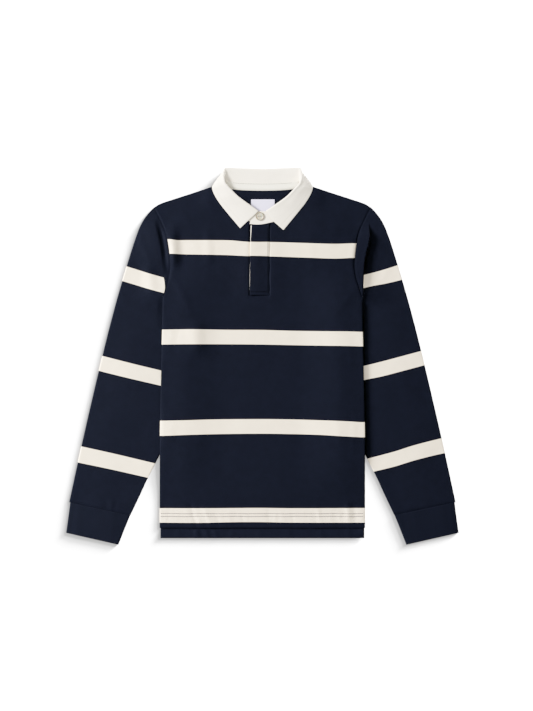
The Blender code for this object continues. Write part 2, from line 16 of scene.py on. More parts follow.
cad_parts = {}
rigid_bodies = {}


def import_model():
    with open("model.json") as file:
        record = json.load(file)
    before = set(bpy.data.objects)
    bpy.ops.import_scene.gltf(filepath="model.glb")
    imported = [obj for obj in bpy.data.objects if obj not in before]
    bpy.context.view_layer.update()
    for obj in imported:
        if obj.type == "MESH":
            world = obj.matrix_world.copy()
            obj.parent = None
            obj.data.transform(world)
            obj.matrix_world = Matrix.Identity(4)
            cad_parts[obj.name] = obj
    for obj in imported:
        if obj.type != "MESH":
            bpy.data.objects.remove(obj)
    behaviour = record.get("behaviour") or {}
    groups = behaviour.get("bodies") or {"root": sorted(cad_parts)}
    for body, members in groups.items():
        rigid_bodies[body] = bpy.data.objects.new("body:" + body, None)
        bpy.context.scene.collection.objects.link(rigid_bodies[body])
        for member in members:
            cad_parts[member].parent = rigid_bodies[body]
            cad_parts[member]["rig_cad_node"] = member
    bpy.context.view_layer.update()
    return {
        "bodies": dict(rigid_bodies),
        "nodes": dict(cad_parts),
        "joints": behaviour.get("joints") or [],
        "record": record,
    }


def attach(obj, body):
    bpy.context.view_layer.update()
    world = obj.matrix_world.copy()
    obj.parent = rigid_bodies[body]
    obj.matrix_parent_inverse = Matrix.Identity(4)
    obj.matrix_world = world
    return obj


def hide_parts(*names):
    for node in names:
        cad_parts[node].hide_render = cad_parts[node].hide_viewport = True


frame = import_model()
MM = 0.001
print("packed nodes:", len(frame["nodes"]))

# %% [markdown]
# ## The camera
# The shirt is seen from straight above, as on a copy stand. A long lens far away keeps the outline
# free of perspective, and the frame covers 2.08 mm of table in each pixel of a 533 x 711 picture.

# %% Camera
PICTURE_HEIGHT = 711          # pixels
TABLE_PER_PIXEL = 2.08        # mm
LENS = 85.0
SENSOR = 36.0
VIEW_CENTRE = (8.5, 1.7)      # mm on the table

camera_data = bpy.data.cameras.new("copy_stand_camera")
camera_data.lens = LENS
camera_data.sensor_width = SENSOR
camera = bpy.data.objects.new("copy_stand_camera", camera_data)
bpy.context.scene.collection.objects.link(camera)
camera_height = PICTURE_HEIGHT * TABLE_PER_PIXEL * LENS / SENSOR
camera.location = (VIEW_CENTRE[0] * MM, VIEW_CENTRE[1] * MM, camera_height * MM)
bpy.context.scene.camera = camera
print("camera height in m:", round(camera_height * MM, 2))

# %% [markdown]
# ## Reading smooth curves from short tables
# A tailor draws a curve through a few measured points. These helpers do the same: `follow` reads one
# column of a table along a smooth curve, `ramp` eases a height in and `ebb` eases it out.

# %% Curve helpers
def ramp(value, start, end):
    """Ease from 0 at start to 1 at end."""
    part = min(max((value - start) / (end - start), 0.0), 1.0)
    return part * part * (3.0 - 2.0 * part)


def ebb(value, start, end):
    """Ease from 1 at start to 0 at end."""
    return 1.0 - ramp(value, start, end)


def mix(a, b, part):
    """Straight blend of two numbers."""
    return a + (b - a) * part


def bell(distance, width):
    """Round bump, 1 in the middle and almost 0 beyond twice its width."""
    return math.exp(-(distance / width) ** 2)


def follow(table, key, column, value):
    """One column of a table, read along a smooth curve through its rows."""
    places = [getattr(row, key) for row in table]
    sizes = [getattr(row, column) for row in table]
    last = len(table) - 1
    value = min(max(value, places[0]), places[last])
    low = min(bisect_right(places, value) - 1, last - 1)
    span = places[low + 1] - places[low]
    part = (value - places[low]) / span

    def slope(row):
        before = max(row - 1, 0)
        after = min(row + 1, last)
        return (sizes[after] - sizes[before]) / (places[after] - places[before])

    square = part * part
    cube = square * part
    return (
        (2 * cube - 3 * square + 1) * sizes[low]
        + (cube - 2 * square + part) * span * slope(low)
        + (3 * square - 2 * cube) * sizes[low + 1]
        + (cube - square) * span * slope(low + 1)
    )


def table_of(kind, *values):
    """A table: one named row for each bracket of numbers."""
    return tuple(kind(*value) for value in values)


def fine_steps(stops, step):
    """Numbers from the first stop to the last, through each stop, at most a step apart."""
    steps = [stops[0]]
    for start, end in zip(stops, stops[1:]):
        count = max(1, math.ceil(abs(end - start) / step))
        steps += [mix(start, end, i / count) for i in range(1, count)] + [end]
    return steps


print("a ramp is half way up in its middle:", ramp(0.5, 0.0, 1.0))

# %% [markdown]
# ## The lay of the shirt
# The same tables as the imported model's: the outline of the body, the sleeves and the neck, in
# millimetres, with x across the shirt, y up it and the origin under its middle.

# %% Outline tables
JERSEY = 1.2                  # thickness of each cloth
CUFF_CLOTH = 1.6
TWILL = 1.2
TAPE = 0.8
FACING = 1.0
LABEL = 0.4
SEAM_GAP = 0.4                # between two pieces that are sewn edge to edge
SEWN = 0.3                    # a sewn edge laps this far over its neighbour's, which closes the seam
LAY_GAP = 0.3                 # between a piece and what it lies on
FOLD_ROOM = 0.3               # inside a fold, to each side of its middle
SHOULDER_TIP = 225.3          # half width where the shoulder meets the sleeve
SHOULDER_TIP_Y = 309.5
ARMPIT_Y = 123.3
FRONT_HEM_Y = -356.9
BACK_HEM_Y = -378.0
BACK_INSET = 1.7
YOKE_Y = 250.2                # above it the rows of points bend to the neck and the shoulders
SLIT_LEFT = -25.0
SLIT_RIGHT = 9.6
SLIT_FOOT_Y = 133.7

Fade = namedtuple("Fade", "start end")
Edge = namedtuple("Edge", "y half")
Top = namedtuple("Top", "half y")
Row = namedtuple("Row", "outer_y inner_y")
Line = namedtuple("Line", "outer_x outer_y inner_x inner_y")
Strip = namedtuple("Strip", "y left right")
Neck = namedtuple("Neck", "seam roll tilt roll_radius middle edge")

SIDE_EDGE = table_of(
    Edge, (-377.3, 213.6), (-250, 213.4), (-132.5, 212.3), (-28, 210.3), (44.3, 208.4),
    (ARMPIT_Y, 206.8),
)
ARMHOLE = table_of(
    Edge, (ARMPIT_Y, 206.8), (142.1, 201.6), (158.7, 195.9), (175.3, 192.4), (192, 191.4),
    (225.3, 194.3), (258.5, 201.1), (291.8, 215.7), (SHOULDER_TIP_Y, SHOULDER_TIP),
)
SHOULDER = table_of(
    Top, (0, 386), (84, 359.4), (138.1, 341.7), (189.3, 325.1), (213.2, 316.8),
    (SHOULDER_TIP, SHOULDER_TIP_Y),
)
FRONT_NECK = table_of(
    Top, (0, 275), (25, 279.8), (37.5, 287.3), (48.5, 298.2), (59.8, 311.5), (68, 321.5), (75, 331.5),
    (81, 345), (84, 359.4),
)
BACK_NECK = table_of(Top, (0, 350.9), (48.5, 352.4), (68, 355.7), (84, 359.4))
SLEEVE_FOLD = table_of(
    Edge, (-303.1, 401.4), (-219.9, 383.4), (-136.7, 364.8), (-36.8, 341.5), (46.4, 321.2),
    (112.9, 303.7), (146.2, 294.1), (196.1, 279.3), (229.4, 268.9), (246.1, 263.3), (266.9, 255.4),
    (283.5, 246.9), (300.1, 234.4), (SHOULDER_TIP_Y, SHOULDER_TIP),
)
SLEEVE_SEAM = table_of(
    Edge, (-329.1, 273.2), (-286.4, 252.9), (-253.1, 237.6), (-203.2, 212.4), (-174.1, 198),
    (-132.5, 185.1), (-90.9, 177.8), (-49.3, 174.7), (-7.7, 175.8), (33.9, 182), (67.2, 191.4),
    (92.1, 199), (110.9, 203), (117.5, 204.4), (ARMPIT_Y, 205.2),
)
SLEEVE_ROWS = table_of(
    Row, (309.2, 308.4), (304.5, 300.6), (295, 285.8), (282, 268), (267, YOKE_Y), (252, 233.6),
    (233, 212.8), (214, 192), (192, 169), (172, 148.3), (158, 133.7), (148, ARMPIT_Y), (136, 111),
    (120, 95), (100, 75), (75, 50), (41, 15), (2, -25), (-42, -70), (-85, -115), (-128, -160),
    (-170, -203), (-213, -245), (-257, -286), (-302, -328.8),
)
CUFF_LINES = table_of(
    Line, (399.6, -303.4, 274.6, -330.2), (403.4, -333, 286.3, -359), (408.1, -366.9, 299.1, -391.7),
)
PLACKET = table_of(
    Strip, (126.3, -26.4, 14.4), (180, -25.9, 14.4), (231.5, -25, 14.4), (272.3, -22.3, 14.4),
)
PLACKET_TOP_RISE = 3.4
FACING_EDGE = table_of(
    Strip, (139, -26.36, -17), (160, -26.32, -17), (182, -25.97, -17), (206, -25.6, -17),
    (240, -25, -17), (271.8, -23.9, -17),
)
LABEL_EDGE = table_of(Strip, (291.8, -23.3, 25.2), (308, -23.3, 25.2), (325.9, -23.3, 25.2))
print("body width in mm:", round(2 * SIDE_EDGE[0].half, 1))

# %% [markdown]
# ## Heights of the lay
# Two walls of jersey lie on each other with a little air between them, and they climb over what is
# folded beneath: the tucked part of each sleeve, and the back of the collar. Each climb is a soft ramp.

# %% Heights of the two panels
PANEL_STACK = JERSEY + 2 * FOLD_ROOM
SLEEVE_STACK = 3.3            # what the body climbs over a sleeve
RIGHT_STACK = 5.0             # the +x side billows more over its sleeve
COLLAR_STACK = 1.8
BODY_LOFT = 1.4               # air between two layers
SLEEVE_LOFT = 1.1
CUFF_LOFT = 0.6
EDGE_PINCH = 0.28             # each panel leans to the other where they are sewn or folded
TUCK_ACROSS = Fade(72.0, 172.0)
TUCK_ABOVE = Fade(ARMPIT_Y, 196.0)
TUCK_BELOW = Fade(-300.0, -208.0)
COLLAR_LIFT_UP = Fade(296.0, 329.0)
COLLAR_LIFT_ACROSS = Fade(108.0, 137.0)


def half_width(y):
    """Half width of the body: the side edge, then the armhole."""
    if y <= ARMPIT_Y:
        return follow(SIDE_EDGE, "y", "half", y)
    return follow(ARMHOLE, "y", "half", y)


def stack(side):
    """Lift of the body over the sleeve of one side."""
    return SLEEVE_STACK if side < 0 else RIGHT_STACK


def over_sleeve(x, y):
    """Lift of the body where a sleeve is tucked beneath its side."""
    above = ebb(y, *TUCK_ABOVE)
    return stack(x) * ramp(abs(x), *TUCK_ACROSS) * above * ramp(y, *TUCK_BELOW)


def over_collar(x, y):
    """Lift of the neck where the fall is folded beneath it."""
    return COLLAR_STACK * ramp(y, *COLLAR_LIFT_UP) * ebb(abs(x), *COLLAR_LIFT_ACROSS)


def back_height(x, y):
    """Height of the middle of the back panel's wall."""
    return JERSEY / 2 + over_sleeve(x, y) + over_collar(x, y)


def front_height(x, y):
    """Height of the middle of the front panel's wall."""
    from_side = ramp(half_width(y) - abs(x), 0.0, 60.0)
    from_hem = ramp(y - FRONT_HEM_Y, 0.0, 80.0)
    from_shoulder = ramp(follow(SHOULDER, "half", "y", abs(x)) - y, 0.0, 50.0)
    return back_height(x, y) + PANEL_STACK + BODY_LOFT * from_side * from_hem * from_shoulder


print("front of the chest lies at", round(front_height(60.0, 100.0), 1), "mm")

# %% [markdown]
# ## Creases
# A pressed shirt still has a few soft troughs and ridges where it was folded and where the sleeves pull
# on the body. Each is one row of a table: two ends, a width and a height. They are uneven on purpose,
# because evenly spaced creases look like machine pleats.

# %% Crease tables
Crease = namedtuple("Crease", "x0 y0 x1 y1 width height")
FRONT_CREASES = table_of(
    Crease, (-184, 268, -183, 188, 11, 2.3), (-113, 264, -111, 196, 11, 0.9),
    (-196, 182, -150, 96, 8, 0.45), (-160, 246, -128, 226, 9, 0.3), (-104, 262, -96, 180, 10, -0.35),
    (-60, 252, -64, 196, 8, 0.22), (190, 236, 184, 168, 7, 0.35), (168, 262, 150, 214, 9, -0.3),
    (196, 150, 150, 84, 9, 0.4), (98, 250, 104, 168, 12, 0.3), (-188, 62, -196, 8, 5, 0.3),
    (-173, 58, -182, 14, 5.5, -0.3), (-139, 68, -136, 6, 18, 2.7), (-96, 60, -92, -4, 11, -0.24),
    (-30, 64, -26, 2, 12, 0.2), (52, 70, 60, -12, 13, 0.22), (120, 60, 132, 4, 9, -0.22),
    (176, 44, 186, -20, 7, 0.3), (-182, -112, -192, -190, 8, 0.34), (-205, -118, -204, -182, 22, 0.9),
    (-118, -120, -108, -190, 12, -0.26), (-44, -116, -38, -184, 12, 0.22),
    (70, -118, 84, -196, 14, -0.26), (150, -122, 162, -186, 9, 0.26), (192, -124, 186, -200, 6, 0.34),
    (-152, -304, -136, -352, 4.5, -0.9), (-122, -312, -106, -354, 4, 0.9),
    (-142, -330, -126, -354, 3, 0.6), (-98, -322, -90, -350, 4, -0.6), (-70, -318, -66, -352, 5, 0.5),
    (-44, -330, -38, -348, 3, -0.5), (12, -314, 16, -350, 6, -0.5), (36, -322, 48, -346, 3.5, 0.6),
    (60, -328, 66, -350, 3.5, -0.5), (112, -308, 124, -352, 5, 0.6), (150, -320, 156, -350, 4.5, -0.5),
    (176, -306, 180, -346, 6, 1.3), (191, -310, 194, -344, 5, -0.7), (-120, 150, -40, 60, 26, 0.35),
    (40, -20, 130, -110, 30, 0.35), (-150, -30, -60, -120, 28, -0.35), (60, 160, 130, 90, 26, -0.3),
    (-80, -210, 60, -262, 26, 0.3), (90, -200, 180, -270, 24, -0.25), (-120, 300, -84, 250, 18, 0.4),
    (124, 300, 90, 246, 18, 0.35),
)
BACK_CREASES = table_of(
    Crease, (-170, 240, -120, 150, 16, 0.3), (168, 232, 128, 140, 15, 0.3),
    (-90, 80, -20, -60, 26, 0.25), (100, 40, 40, -120, 24, 0.25), (-120, -180, -60, -300, 20, 0.25),
    (130, -170, 90, -290, 18, 0.25), (-142, -350, -134, -377, 3.5, 1.7),
    (-124, -352, -112, -377, 3, 1.4), (-104, -350, -94, -377, 4, 1.1), (-178, -352, -172, -377, 6, 0.6),
    (-64, -350, -62, -377, 5, 0.8), (-8, -352, -4, -377, 6, 0.5), (52, -352, 56, -377, 5, 0.6),
    (118, -350, 124, -377, 4.5, 0.6), (176, -352, 180, -377, 6, 0.5),
)
SLEEVE_CREASES_LEFT = table_of(
    Crease, (262, 252, 232, 196, 9, 0.6), (237, 188, 229, 132, 13, 1.9), (276, 205, 232, 158, 8, -0.45),
    (298, 120, 236, 96, 9, 0.35), (306, 60, 232, 74, 10, -0.3), (330, -10, 246, 12, 8, 0.3),
    (322, -44, 232, -60, 12, 0.3), (352, -110, 262, -84, 12, -0.3), (356, -160, 258, -196, 13, 0.3),
    (372, -206, 330, -232, 9, -0.25), (320, -196, 296, -226, 7, 0.25), (382, -262, 300, -250, 10, 0.22),
)
SLEEVE_CREASES_RIGHT = table_of(
    Crease, (258, 262, 244, 206, 10, 0.45), (266, 190, 232, 148, 8, 0.5),
    (250, 178, 226, 140, 6, -0.45), (300, 96, 238, 82, 10, 0.3), (306, 40, 236, 58, 10, -0.3),
    (326, 6, 262, -20, 9, 0.35), (340, -60, 250, -46, 12, 0.3), (350, -122, 262, -96, 12, -0.3),
    (362, -176, 330, -206, 8, 0.4), (312, -186, 296, -214, 7, -0.35), (268, -212, 250, -238, 6, 0.35),
    (384, -258, 300, -246, 11, 0.2),
)
CUFF_PUCKERS_LEFT = table_of(
    Crease, (312, -318, 314, -300, 3, 0.5), (322, -318, 326, -302, 2.8, -0.4),
    (334, -314, 340, -294, 3.2, 0.55), (347, -312, 351, -300, 2.6, 0.45),
    (362, -309, 366, -296, 3, 0.3), (300, -322, 298, -306, 3, 0.35),
)
CUFF_PUCKERS_RIGHT = table_of(
    Crease, (306, -320, 308, -302, 3.2, 0.4), (324, -316, 327, -300, 3, -0.35),
    (341, -313, 345, -298, 3.2, 0.4), (368, -307, 371, -296, 3, 0.28),
)


def creases(table, x, y):
    """Sum of the creases that pass near a point, each fading out at its ends."""
    total = 0.0
    for row in table:
        run_x = row.x1 - row.x0
        run_y = row.y1 - row.y0
        length = math.hypot(run_x, run_y)
        along = ((x - row.x0) * run_x + (y - row.y0) * run_y) / length
        if not -0.3 * length < along < 1.3 * length:
            continue
        off = ((x - row.x0) * run_y - (y - row.y0) * run_x) / length
        if abs(off) > 2.5 * row.width:
            continue
        part = along / length
        fade = ramp(part, -0.25, 0.3) * ebb(part, 0.7, 1.25)
        total += row.height * fade * bell(off, row.width)
    return total


def swell(*place):
    """Smooth random height, about -1 to 1, at a place in three numbers."""
    return noise.noise(Vector(place))


def ripple(x, y, seed, size, height):
    """Slow uneven swell of resting cloth."""
    return height * swell(x / size, y / size, seed)


print("creases on the front:", len(FRONT_CREASES))

# %% [markdown]
# ## Where the stripes lie
# The stripes are knitted into the cloth at an even pitch of 184.6 mm, and they look wavy only because
# the cloth isn't laid quite straight. So each point of a panel keeps its place along the knitting, which
# the material turns into stripes: a table gives the middle and width of each stripe at a few places, and
# the cloth between two stripes is stretched evenly.

# %% Stripe tables
STRIPE_PITCH = 184.6
STRIPE_WIDTH = 31.0
GLARE = 1.2                   # a pale stripe beside navy looks this much wider than it is
Level = namedtuple("Level", "x y wide")
BODY_STRIPES = (
    table_of(Level, (-192, 228.2, 31), (-178, 227, 29.6), (-160, 226.7, 30.4), (-98, 226.1, 31.4),
        (-66, 225.4, 31.8), (-36, 223.3, 30.6), (-12, 222.7, 29.8), (27, 222.2, 31), (90, 220.2, 31.2),
        (150, 218.4, 31.6), (184, 219.6, 31.2)),
    table_of(Level, (-204, 40, 31.8), (-150, 40.6, 31.9), (-66, 40, 30.9), (0, 39.6, 31.2),
        (58, 38.2, 30.7), (121, 37.2, 30.9), (173, 36.6, 31.2), (204, 35.8, 31.2)),
    table_of(Level, (-206, -149.4, 32.4), (-160, -148, 31.5), (-98, -146.4, 31.6), (-4, -145.6, 31.2),
        (58, -146.3, 31.4), (121, -148, 31.4), (173, -150.5, 32.5), (204, -152.3, 32.4)),
    table_of(Level, (-206, -330.6, 31), (-129, -330.8, 31.3), (-66, -330, 30.3), (-4, -329.7, 30.4),
        (58, -330.5, 30.8), (204, -330.4, 31.3)),
)
LEFT_STRIPES = (
    table_of(Level, (204, 147.2, 33), (233, 155.2, 33.3), (258, 163, 33.7), (292, 173.4, 33.8)),
    table_of(Level, (170, -54.9, 32.2), (212, -45, 32.3), (262, -33.2, 32.8), (312, -20.8, 33.5),
        (340, -13.6, 33.7)),
    table_of(Level, (200, -244.6, 34.4), (245, -234.1, 34.4), (308, -219.4, 35), (370, -206, 35.7),
        (385, -202.8, 35.8)),
)
RIGHT_STRIPES = (
    table_of(Level, (206, 154.3, 28.2), (229, 159.8, 28.2), (254, 165.6, 30.8), (279, 172.5, 33.2),
        (292, 176.2, 33.8)),
    table_of(Level, (170, -44, 29.4), (216, -33.4, 30.2), (250, -25.8, 31.7), (300, -12.6, 32.1),
        (345, -0.5, 32.2)),
    table_of(Level, (200, -232.6, 31), (237, -223.2, 31.2), (275, -213.3, 32.2), (312, -201.6, 32.5),
        (350, -191.6, 32.7), (385, -183.4, 33.4)),
)


def along_cloth(stripes, x, y):
    """Distance along the knitting, in mm: each stripe's middle is a whole number of pitches down."""
    above = None
    for number, levels in enumerate(stripes):
        middle = follow(levels, "x", "y", x)
        half = (follow(levels, "x", "wide", x) - GLARE) / 2
        centre = -STRIPE_PITCH * number
        if y > middle + half:
            if above is None:
                return centre + STRIPE_WIDTH / 2 + y - middle - half
            part = (above - y) / (above - middle - half)
            return centre + mix(STRIPE_PITCH - STRIPE_WIDTH / 2, STRIPE_WIDTH / 2, part)
        if y >= middle - half:
            return centre + (y - middle) * STRIPE_WIDTH / 2 / half
        above = middle - half
    return centre - STRIPE_WIDTH / 2 + y - above


print("chest stripe at the placket:", round(follow(BODY_STRIPES[0], "x", "y", 0.0), 1), "mm")

# %% [markdown]
# ## Colours and nodes
# Colours are written as sRGB hex, as a maker would match them on a screen, and turned to the linear
# numbers that the shader needs. One function adds a node with its settings and its links.

# %% Colour and node helpers
def paint(hex_colour):
    """Linear colour from sRGB hex."""
    channels = [int(hex_colour[i:i + 2], 16) / 255 for i in (1, 3, 5)]
    linear = [c / 12.92 if c <= 0.04045 else ((c + 0.055) / 1.055) ** 2.4 for c in channels]
    return (*linear, 1.0)


def node(tree, kind, inputs=(), **settings):
    """Add a node: settings are its properties, and each input is a value or another node's output."""
    made = tree.nodes.new(kind)
    for name, value in settings.items():
        setattr(made, name, value)
    for socket, value in dict(inputs).items():
        if isinstance(value, bpy.types.NodeSocket):
            tree.links.new(value, made.inputs[socket])
        else:
            made.inputs[socket].default_value = value
    return made


def maths(tree, operation, *values):
    """Result of one step of arithmetic on numbers or outputs."""
    return node(tree, "ShaderNodeMath", enumerate(values), operation=operation).outputs[0]


def spread(tree, value, start, end, low=0.0, high=1.0):
    """A value carried from one range to another, and held at its ends."""
    ends = {"From Min": start, "From Max": end, "To Min": low, "To Max": high}
    return node(tree, "ShaderNodeMapRange", {"Value": value, **ends}).outputs[0]


def speckle(tree, place, scale, detail, roughness=0.5, distortion=0.0):
    """Soft random pattern, 0 to 1."""
    look = {"Scale": scale, "Detail": detail, "Roughness": roughness, "Distortion": distortion}
    return node(tree, "ShaderNodeTexNoise", {"Vector": place, **look}).outputs["Fac"]


def blend(tree, part, first, second):
    """Blend of two colours."""
    sides = {"Factor": part, "A": first, "B": second}
    return node(tree, "ShaderNodeMix", sides, data_type="RGBA").outputs["Result"]


def relief(tree, shader, height, strength, depth):
    """Fine relief on a finish, its depth in mm."""
    bump = node(tree, "ShaderNodeBump", {"Height": height, "Strength": strength, "Distance": depth * MM})
    tree.links.new(bump.outputs["Normal"], shader.inputs["Normal"])


def blank_material(name, roughness, ior=1.5, gloss=0.5):
    """Material with a Principled shader, whose even values are set on its own sockets."""
    surface = bpy.data.materials.new(name)
    surface.use_nodes = True
    shader = surface.node_tree.nodes["Principled BSDF"]
    shader.inputs["Roughness"].default_value = roughness
    shader.inputs["IOR"].default_value = ior
    shader.inputs["Specular IOR Level"].default_value = gloss
    return surface, surface.node_tree, shader


print("navy in linear numbers:", [round(c, 4) for c in paint("#1a1e2b")])

# %% [markdown]
# ## Heavyweight cotton jersey
# Rugby jersey is a thick single knit. Its face is rows of small V-shaped loops: columns (wales) about
# 1.1 mm apart, and rows (courses) about 0.9 mm apart. The yarn is carded cotton, so it is matt, a
# little hairy, and slightly uneven in its dye. The stripes are knitted in an undyed yarn, so their edge
# follows the loops and is sharp. The pattern is worked out from the cloth's own coordinates.

# %% Knitted materials
WALE = 1.1                    # mm between columns of loops
COURSE = 0.9                  # mm between rows of loops
LOOP_DEPTH = 0.16             # mm
STRIPE_BLUR = 0.15            # mm on each side of a stripe's edge
NAVY = "#0e1220"
NAVY_SHEEN = (0.72, 0.84, 1.0, 1.0)      # navy cotton shines a little blue
ECRU = "#f3e7d5"


def cloth_place(tree):
    """Place on the cloth as one vector, then across it, along it and off a fold, in mm."""
    place = node(tree, "ShaderNodeAttribute", attribute_name="cloth_mm").outputs["Vector"]
    return place, *node(tree, "ShaderNodeSeparateXYZ", {"Vector": place}).outputs


def loops(tree, across, along):
    """Height of the V-shaped loops, 0 to 1."""
    wale = maths(tree, "PINGPONG", across, WALE / 2)
    turns = maths(tree, "MULTIPLY", maths(tree, "ADD", wale, along), math.tau / COURSE)
    yarn = maths(tree, "SINE", maths(tree, "MULTIPLY", wale, math.pi / (WALE / 2)))
    return maths(tree, "MULTIPLY_ADD", maths(tree, "SINE", turns), yarn, 0.5)


def uneven_dye(tree, place, hex_colour, amount, broad_size=0.02):
    """Colour with the slight unevenness of dyed yarn, fine and broad."""
    both = maths(tree, "ADD", speckle(tree, place, 0.35, 3.0, 0.7), speckle(tree, place, broad_size, 2.0))
    value = spread(tree, both, 0.6, 1.4, 1.0 - amount, 1.0 + amount)
    dyed = node(tree, "ShaderNodeHueSaturation", {"Value": value, "Color": paint(hex_colour)})
    return dyed.outputs["Color"]


def jersey_material(name, striped):
    """Knitted navy cotton, striped by its place along the knitting."""
    surface, tree, shader = blank_material(name, 0.66, ior=1.45, gloss=0.09)
    shader.inputs["Specular Tint"].default_value = NAVY_SHEEN
    place, across, along, off_fold = cloth_place(tree)
    colour = uneven_dye(tree, place, NAVY, 0.10, 0.06)
    if striped:
        near = maths(tree, "PINGPONG", along, STRIPE_PITCH / 2)
        band = spread(tree, near, STRIPE_WIDTH / 2 - STRIPE_BLUR, STRIPE_WIDTH / 2 + STRIPE_BLUR, 1.0, 0.0)
        shown = spread(tree, off_fold, -STRIPE_BLUR, STRIPE_BLUR)
        colour = blend(
            tree, maths(tree, "MULTIPLY", band, shown), colour, uneven_dye(tree, place, ECRU, 0.025, 0.06),
        )
    tree.links.new(colour, shader.inputs["Base Color"])
    fuzz = speckle(tree, place, 1.3, 4.0)
    relief(tree, shader, maths(tree, "ADD", fuzz, loops(tree, across, along)), 0.45, LOOP_DEPTH)
    return surface


striped_jersey = jersey_material("striped_cotton_jersey", True)
navy_jersey = jersey_material("navy_cotton_jersey", False)
print("knitted materials:", striped_jersey.name, navy_jersey.name)

# %% [markdown]
# ## Brushed cotton twill, satin tape and moulded polyester
# The collar is cut from an undyed cotton twill. A twill's yarns step sideways in each row, which draws
# fine slanted ridges, here 0.9 mm apart so that they still show. The label is a tight satin of shiny
# yarn, so it is smoother and has a cool white. The button is cast polyester, turned and polished.

# %% Woven and moulded materials
TWILL_RIDGE = 0.9             # mm between slanted ridges
TWILL_DEPTH = 0.10            # mm
SATIN_ROW = 0.8               # mm between rows of yarn
SATIN_DEPTH = 0.05            # mm
BUTTON_RIM_SHADE = (6.4, 8.4)       # mm from its axis, where painted shade turns the button's rim browner
PLY_SHADE_BANDS = 1800.0                # bands of painted light and shade along each ply of a thread, for each metre


def twill_material(name, colour, lean=1.0):
    """Woven cotton with slanted ridges, matt and slightly brushed."""
    surface, tree, shader = blank_material(name, 0.88, ior=1.45, gloss=0.3)
    shader.inputs["Sheen Weight"].default_value = 0.1
    shader.inputs["Sheen Roughness"].default_value = 0.5
    place, across, along, off_fold = cloth_place(tree)
    tree.links.new(uneven_dye(tree, place, colour, 0.03), shader.inputs["Base Color"])
    slant = maths(tree, "MULTIPLY_ADD", along, lean, across)
    ridge = maths(tree, "SINE", maths(tree, "MULTIPLY", slant, math.tau / TWILL_RIDGE))
    nap = speckle(tree, place, 0.9, 4.0)
    relief(tree, shader, maths(tree, "MULTIPLY_ADD", ridge, 0.35, nap), 0.4, TWILL_DEPTH)
    return surface


def satin_material(name, colour):
    """Woven satin label: fine even rows of shiny yarn."""
    surface, tree, shader = blank_material(name, 0.5)
    place, across, along, off_fold = cloth_place(tree)
    tree.links.new(uneven_dye(tree, place, colour, 0.02), shader.inputs["Base Color"])
    row = maths(tree, "SINE", maths(tree, "MULTIPLY", along, math.tau / SATIN_ROW))
    relief(tree, shader, row, 0.3, SATIN_DEPTH)
    return surface


def button_material(name, dark, light, rim):
    """Cast polyester: faint swirls in a smooth, half-gloss face, and painted shade that browns its rim."""
    surface, tree, shader = blank_material(name, 0.32, ior=1.54)
    shader.inputs["Subsurface Weight"].default_value = 0.15
    shader.inputs["Subsurface Scale"].default_value = 1.0 * MM
    place = node(tree, "ShaderNodeTexCoord").outputs["Object"]
    swirl = node(tree, "ShaderNodeValToRGB", {"Fac": speckle(tree, place, 160.0, 3.0, distortion=1.2)})
    for stop, at, colour in zip(swirl.color_ramp.elements, (0.35, 0.65), (dark, light)):
        stop.position = at
        stop.color = paint(colour)
    from_axis = node(tree, "ShaderNodeVectorMath", {0: place}, operation="LENGTH").outputs["Value"]
    in_rim_shade = spread(tree, from_axis, *[reach * MM for reach in BUTTON_RIM_SHADE])
    with_rim_shade = blend(tree, in_rim_shade, swirl.outputs["Color"], paint(rim))
    tree.links.new(with_rim_shade, shader.inputs["Base Color"])
    return surface


def thread_material(name, colour, gloss=0.3):
    """Spun sewing thread, with slanted bands of painted light and shade for the twist of its two-ply yarn."""
    surface, tree, shader = blank_material(name, 0.7, ior=1.45, gloss=gloss)
    place = node(tree, "ShaderNodeTexCoord").outputs["Object"]
    ply_shade = node(tree, "ShaderNodeTexWave", {"Vector": place, "Scale": PLY_SHADE_BANDS}, bands_direction="DIAGONAL")
    light = spread(tree, ply_shade.outputs["Fac"], 0.0, 1.0, 0.8, 1.1)
    tone = node(tree, "ShaderNodeHueSaturation", {"Value": light, "Color": paint(colour)})
    tree.links.new(tone.outputs["Color"], shader.inputs["Base Color"])
    return surface


ecru_twill = twill_material("ecru_cotton_twill", "#f0e9dd")
ecru_tape = twill_material("ecru_cotton_tape", "#efebdf", lean=-1.0)
label_satin = satin_material("woven_satin_label", "#dedcee")
# The third colour is painted shade on the button's rim.
cast_button = button_material("cast_polyester_button", "#b5ab97", "#d6cfc0", "#93856e")
# Navy thread, painted near-black as the shade in the grooves that its rows of sewing press in.
navy_thread_and_groove_shade = thread_material("navy_sewing_thread", "#080b14", 0.03)
lilac_thread = thread_material("grey_lilac_sewing_thread", "#575266")
ecru_thread = thread_material("ecru_sewing_thread", "#e6dfd0")
# Grey-brown thread: in the button it is painted shade of the two holes. The tape's row of sewing uses it too.
grey_thread_and_painted_hole_shade = thread_material("grey_brown_sewing_thread", "#877c6c")
print("materials made:", len(bpy.data.materials))

# %% [markdown]
# ## A sheet of cloth from rows of points
# Every piece of cloth is made alike: rows of points give the middle of its wall, Solidify gives it
# thickness, and a small Bevel rounds its cut edges. Each point also keeps its place on the flat cloth.
# A helper also says which body the piece rides on, what solid it stands for and its finish.

# %% Sheet helper
ROUNDED_ABOVE = 60.0          # degrees between two faces from which Bevel rounds their edge


def add_object(name, mesh, surface):
    """Object of a mesh with one finish, in the scene."""
    mesh.materials.append(surface)
    made = bpy.data.objects.new(name, mesh)
    bpy.context.scene.collection.objects.link(made)
    return made


def finished(name, shape, surface):
    """Object of a bmesh, smooth, with its faces turned outwards."""
    bmesh.ops.recalc_face_normals(shape, faces=shape.faces)
    mesh = bpy.data.meshes.new(name)
    shape.to_mesh(mesh)
    shape.free()
    mesh.shade_smooth()
    return add_object(name, mesh, surface)


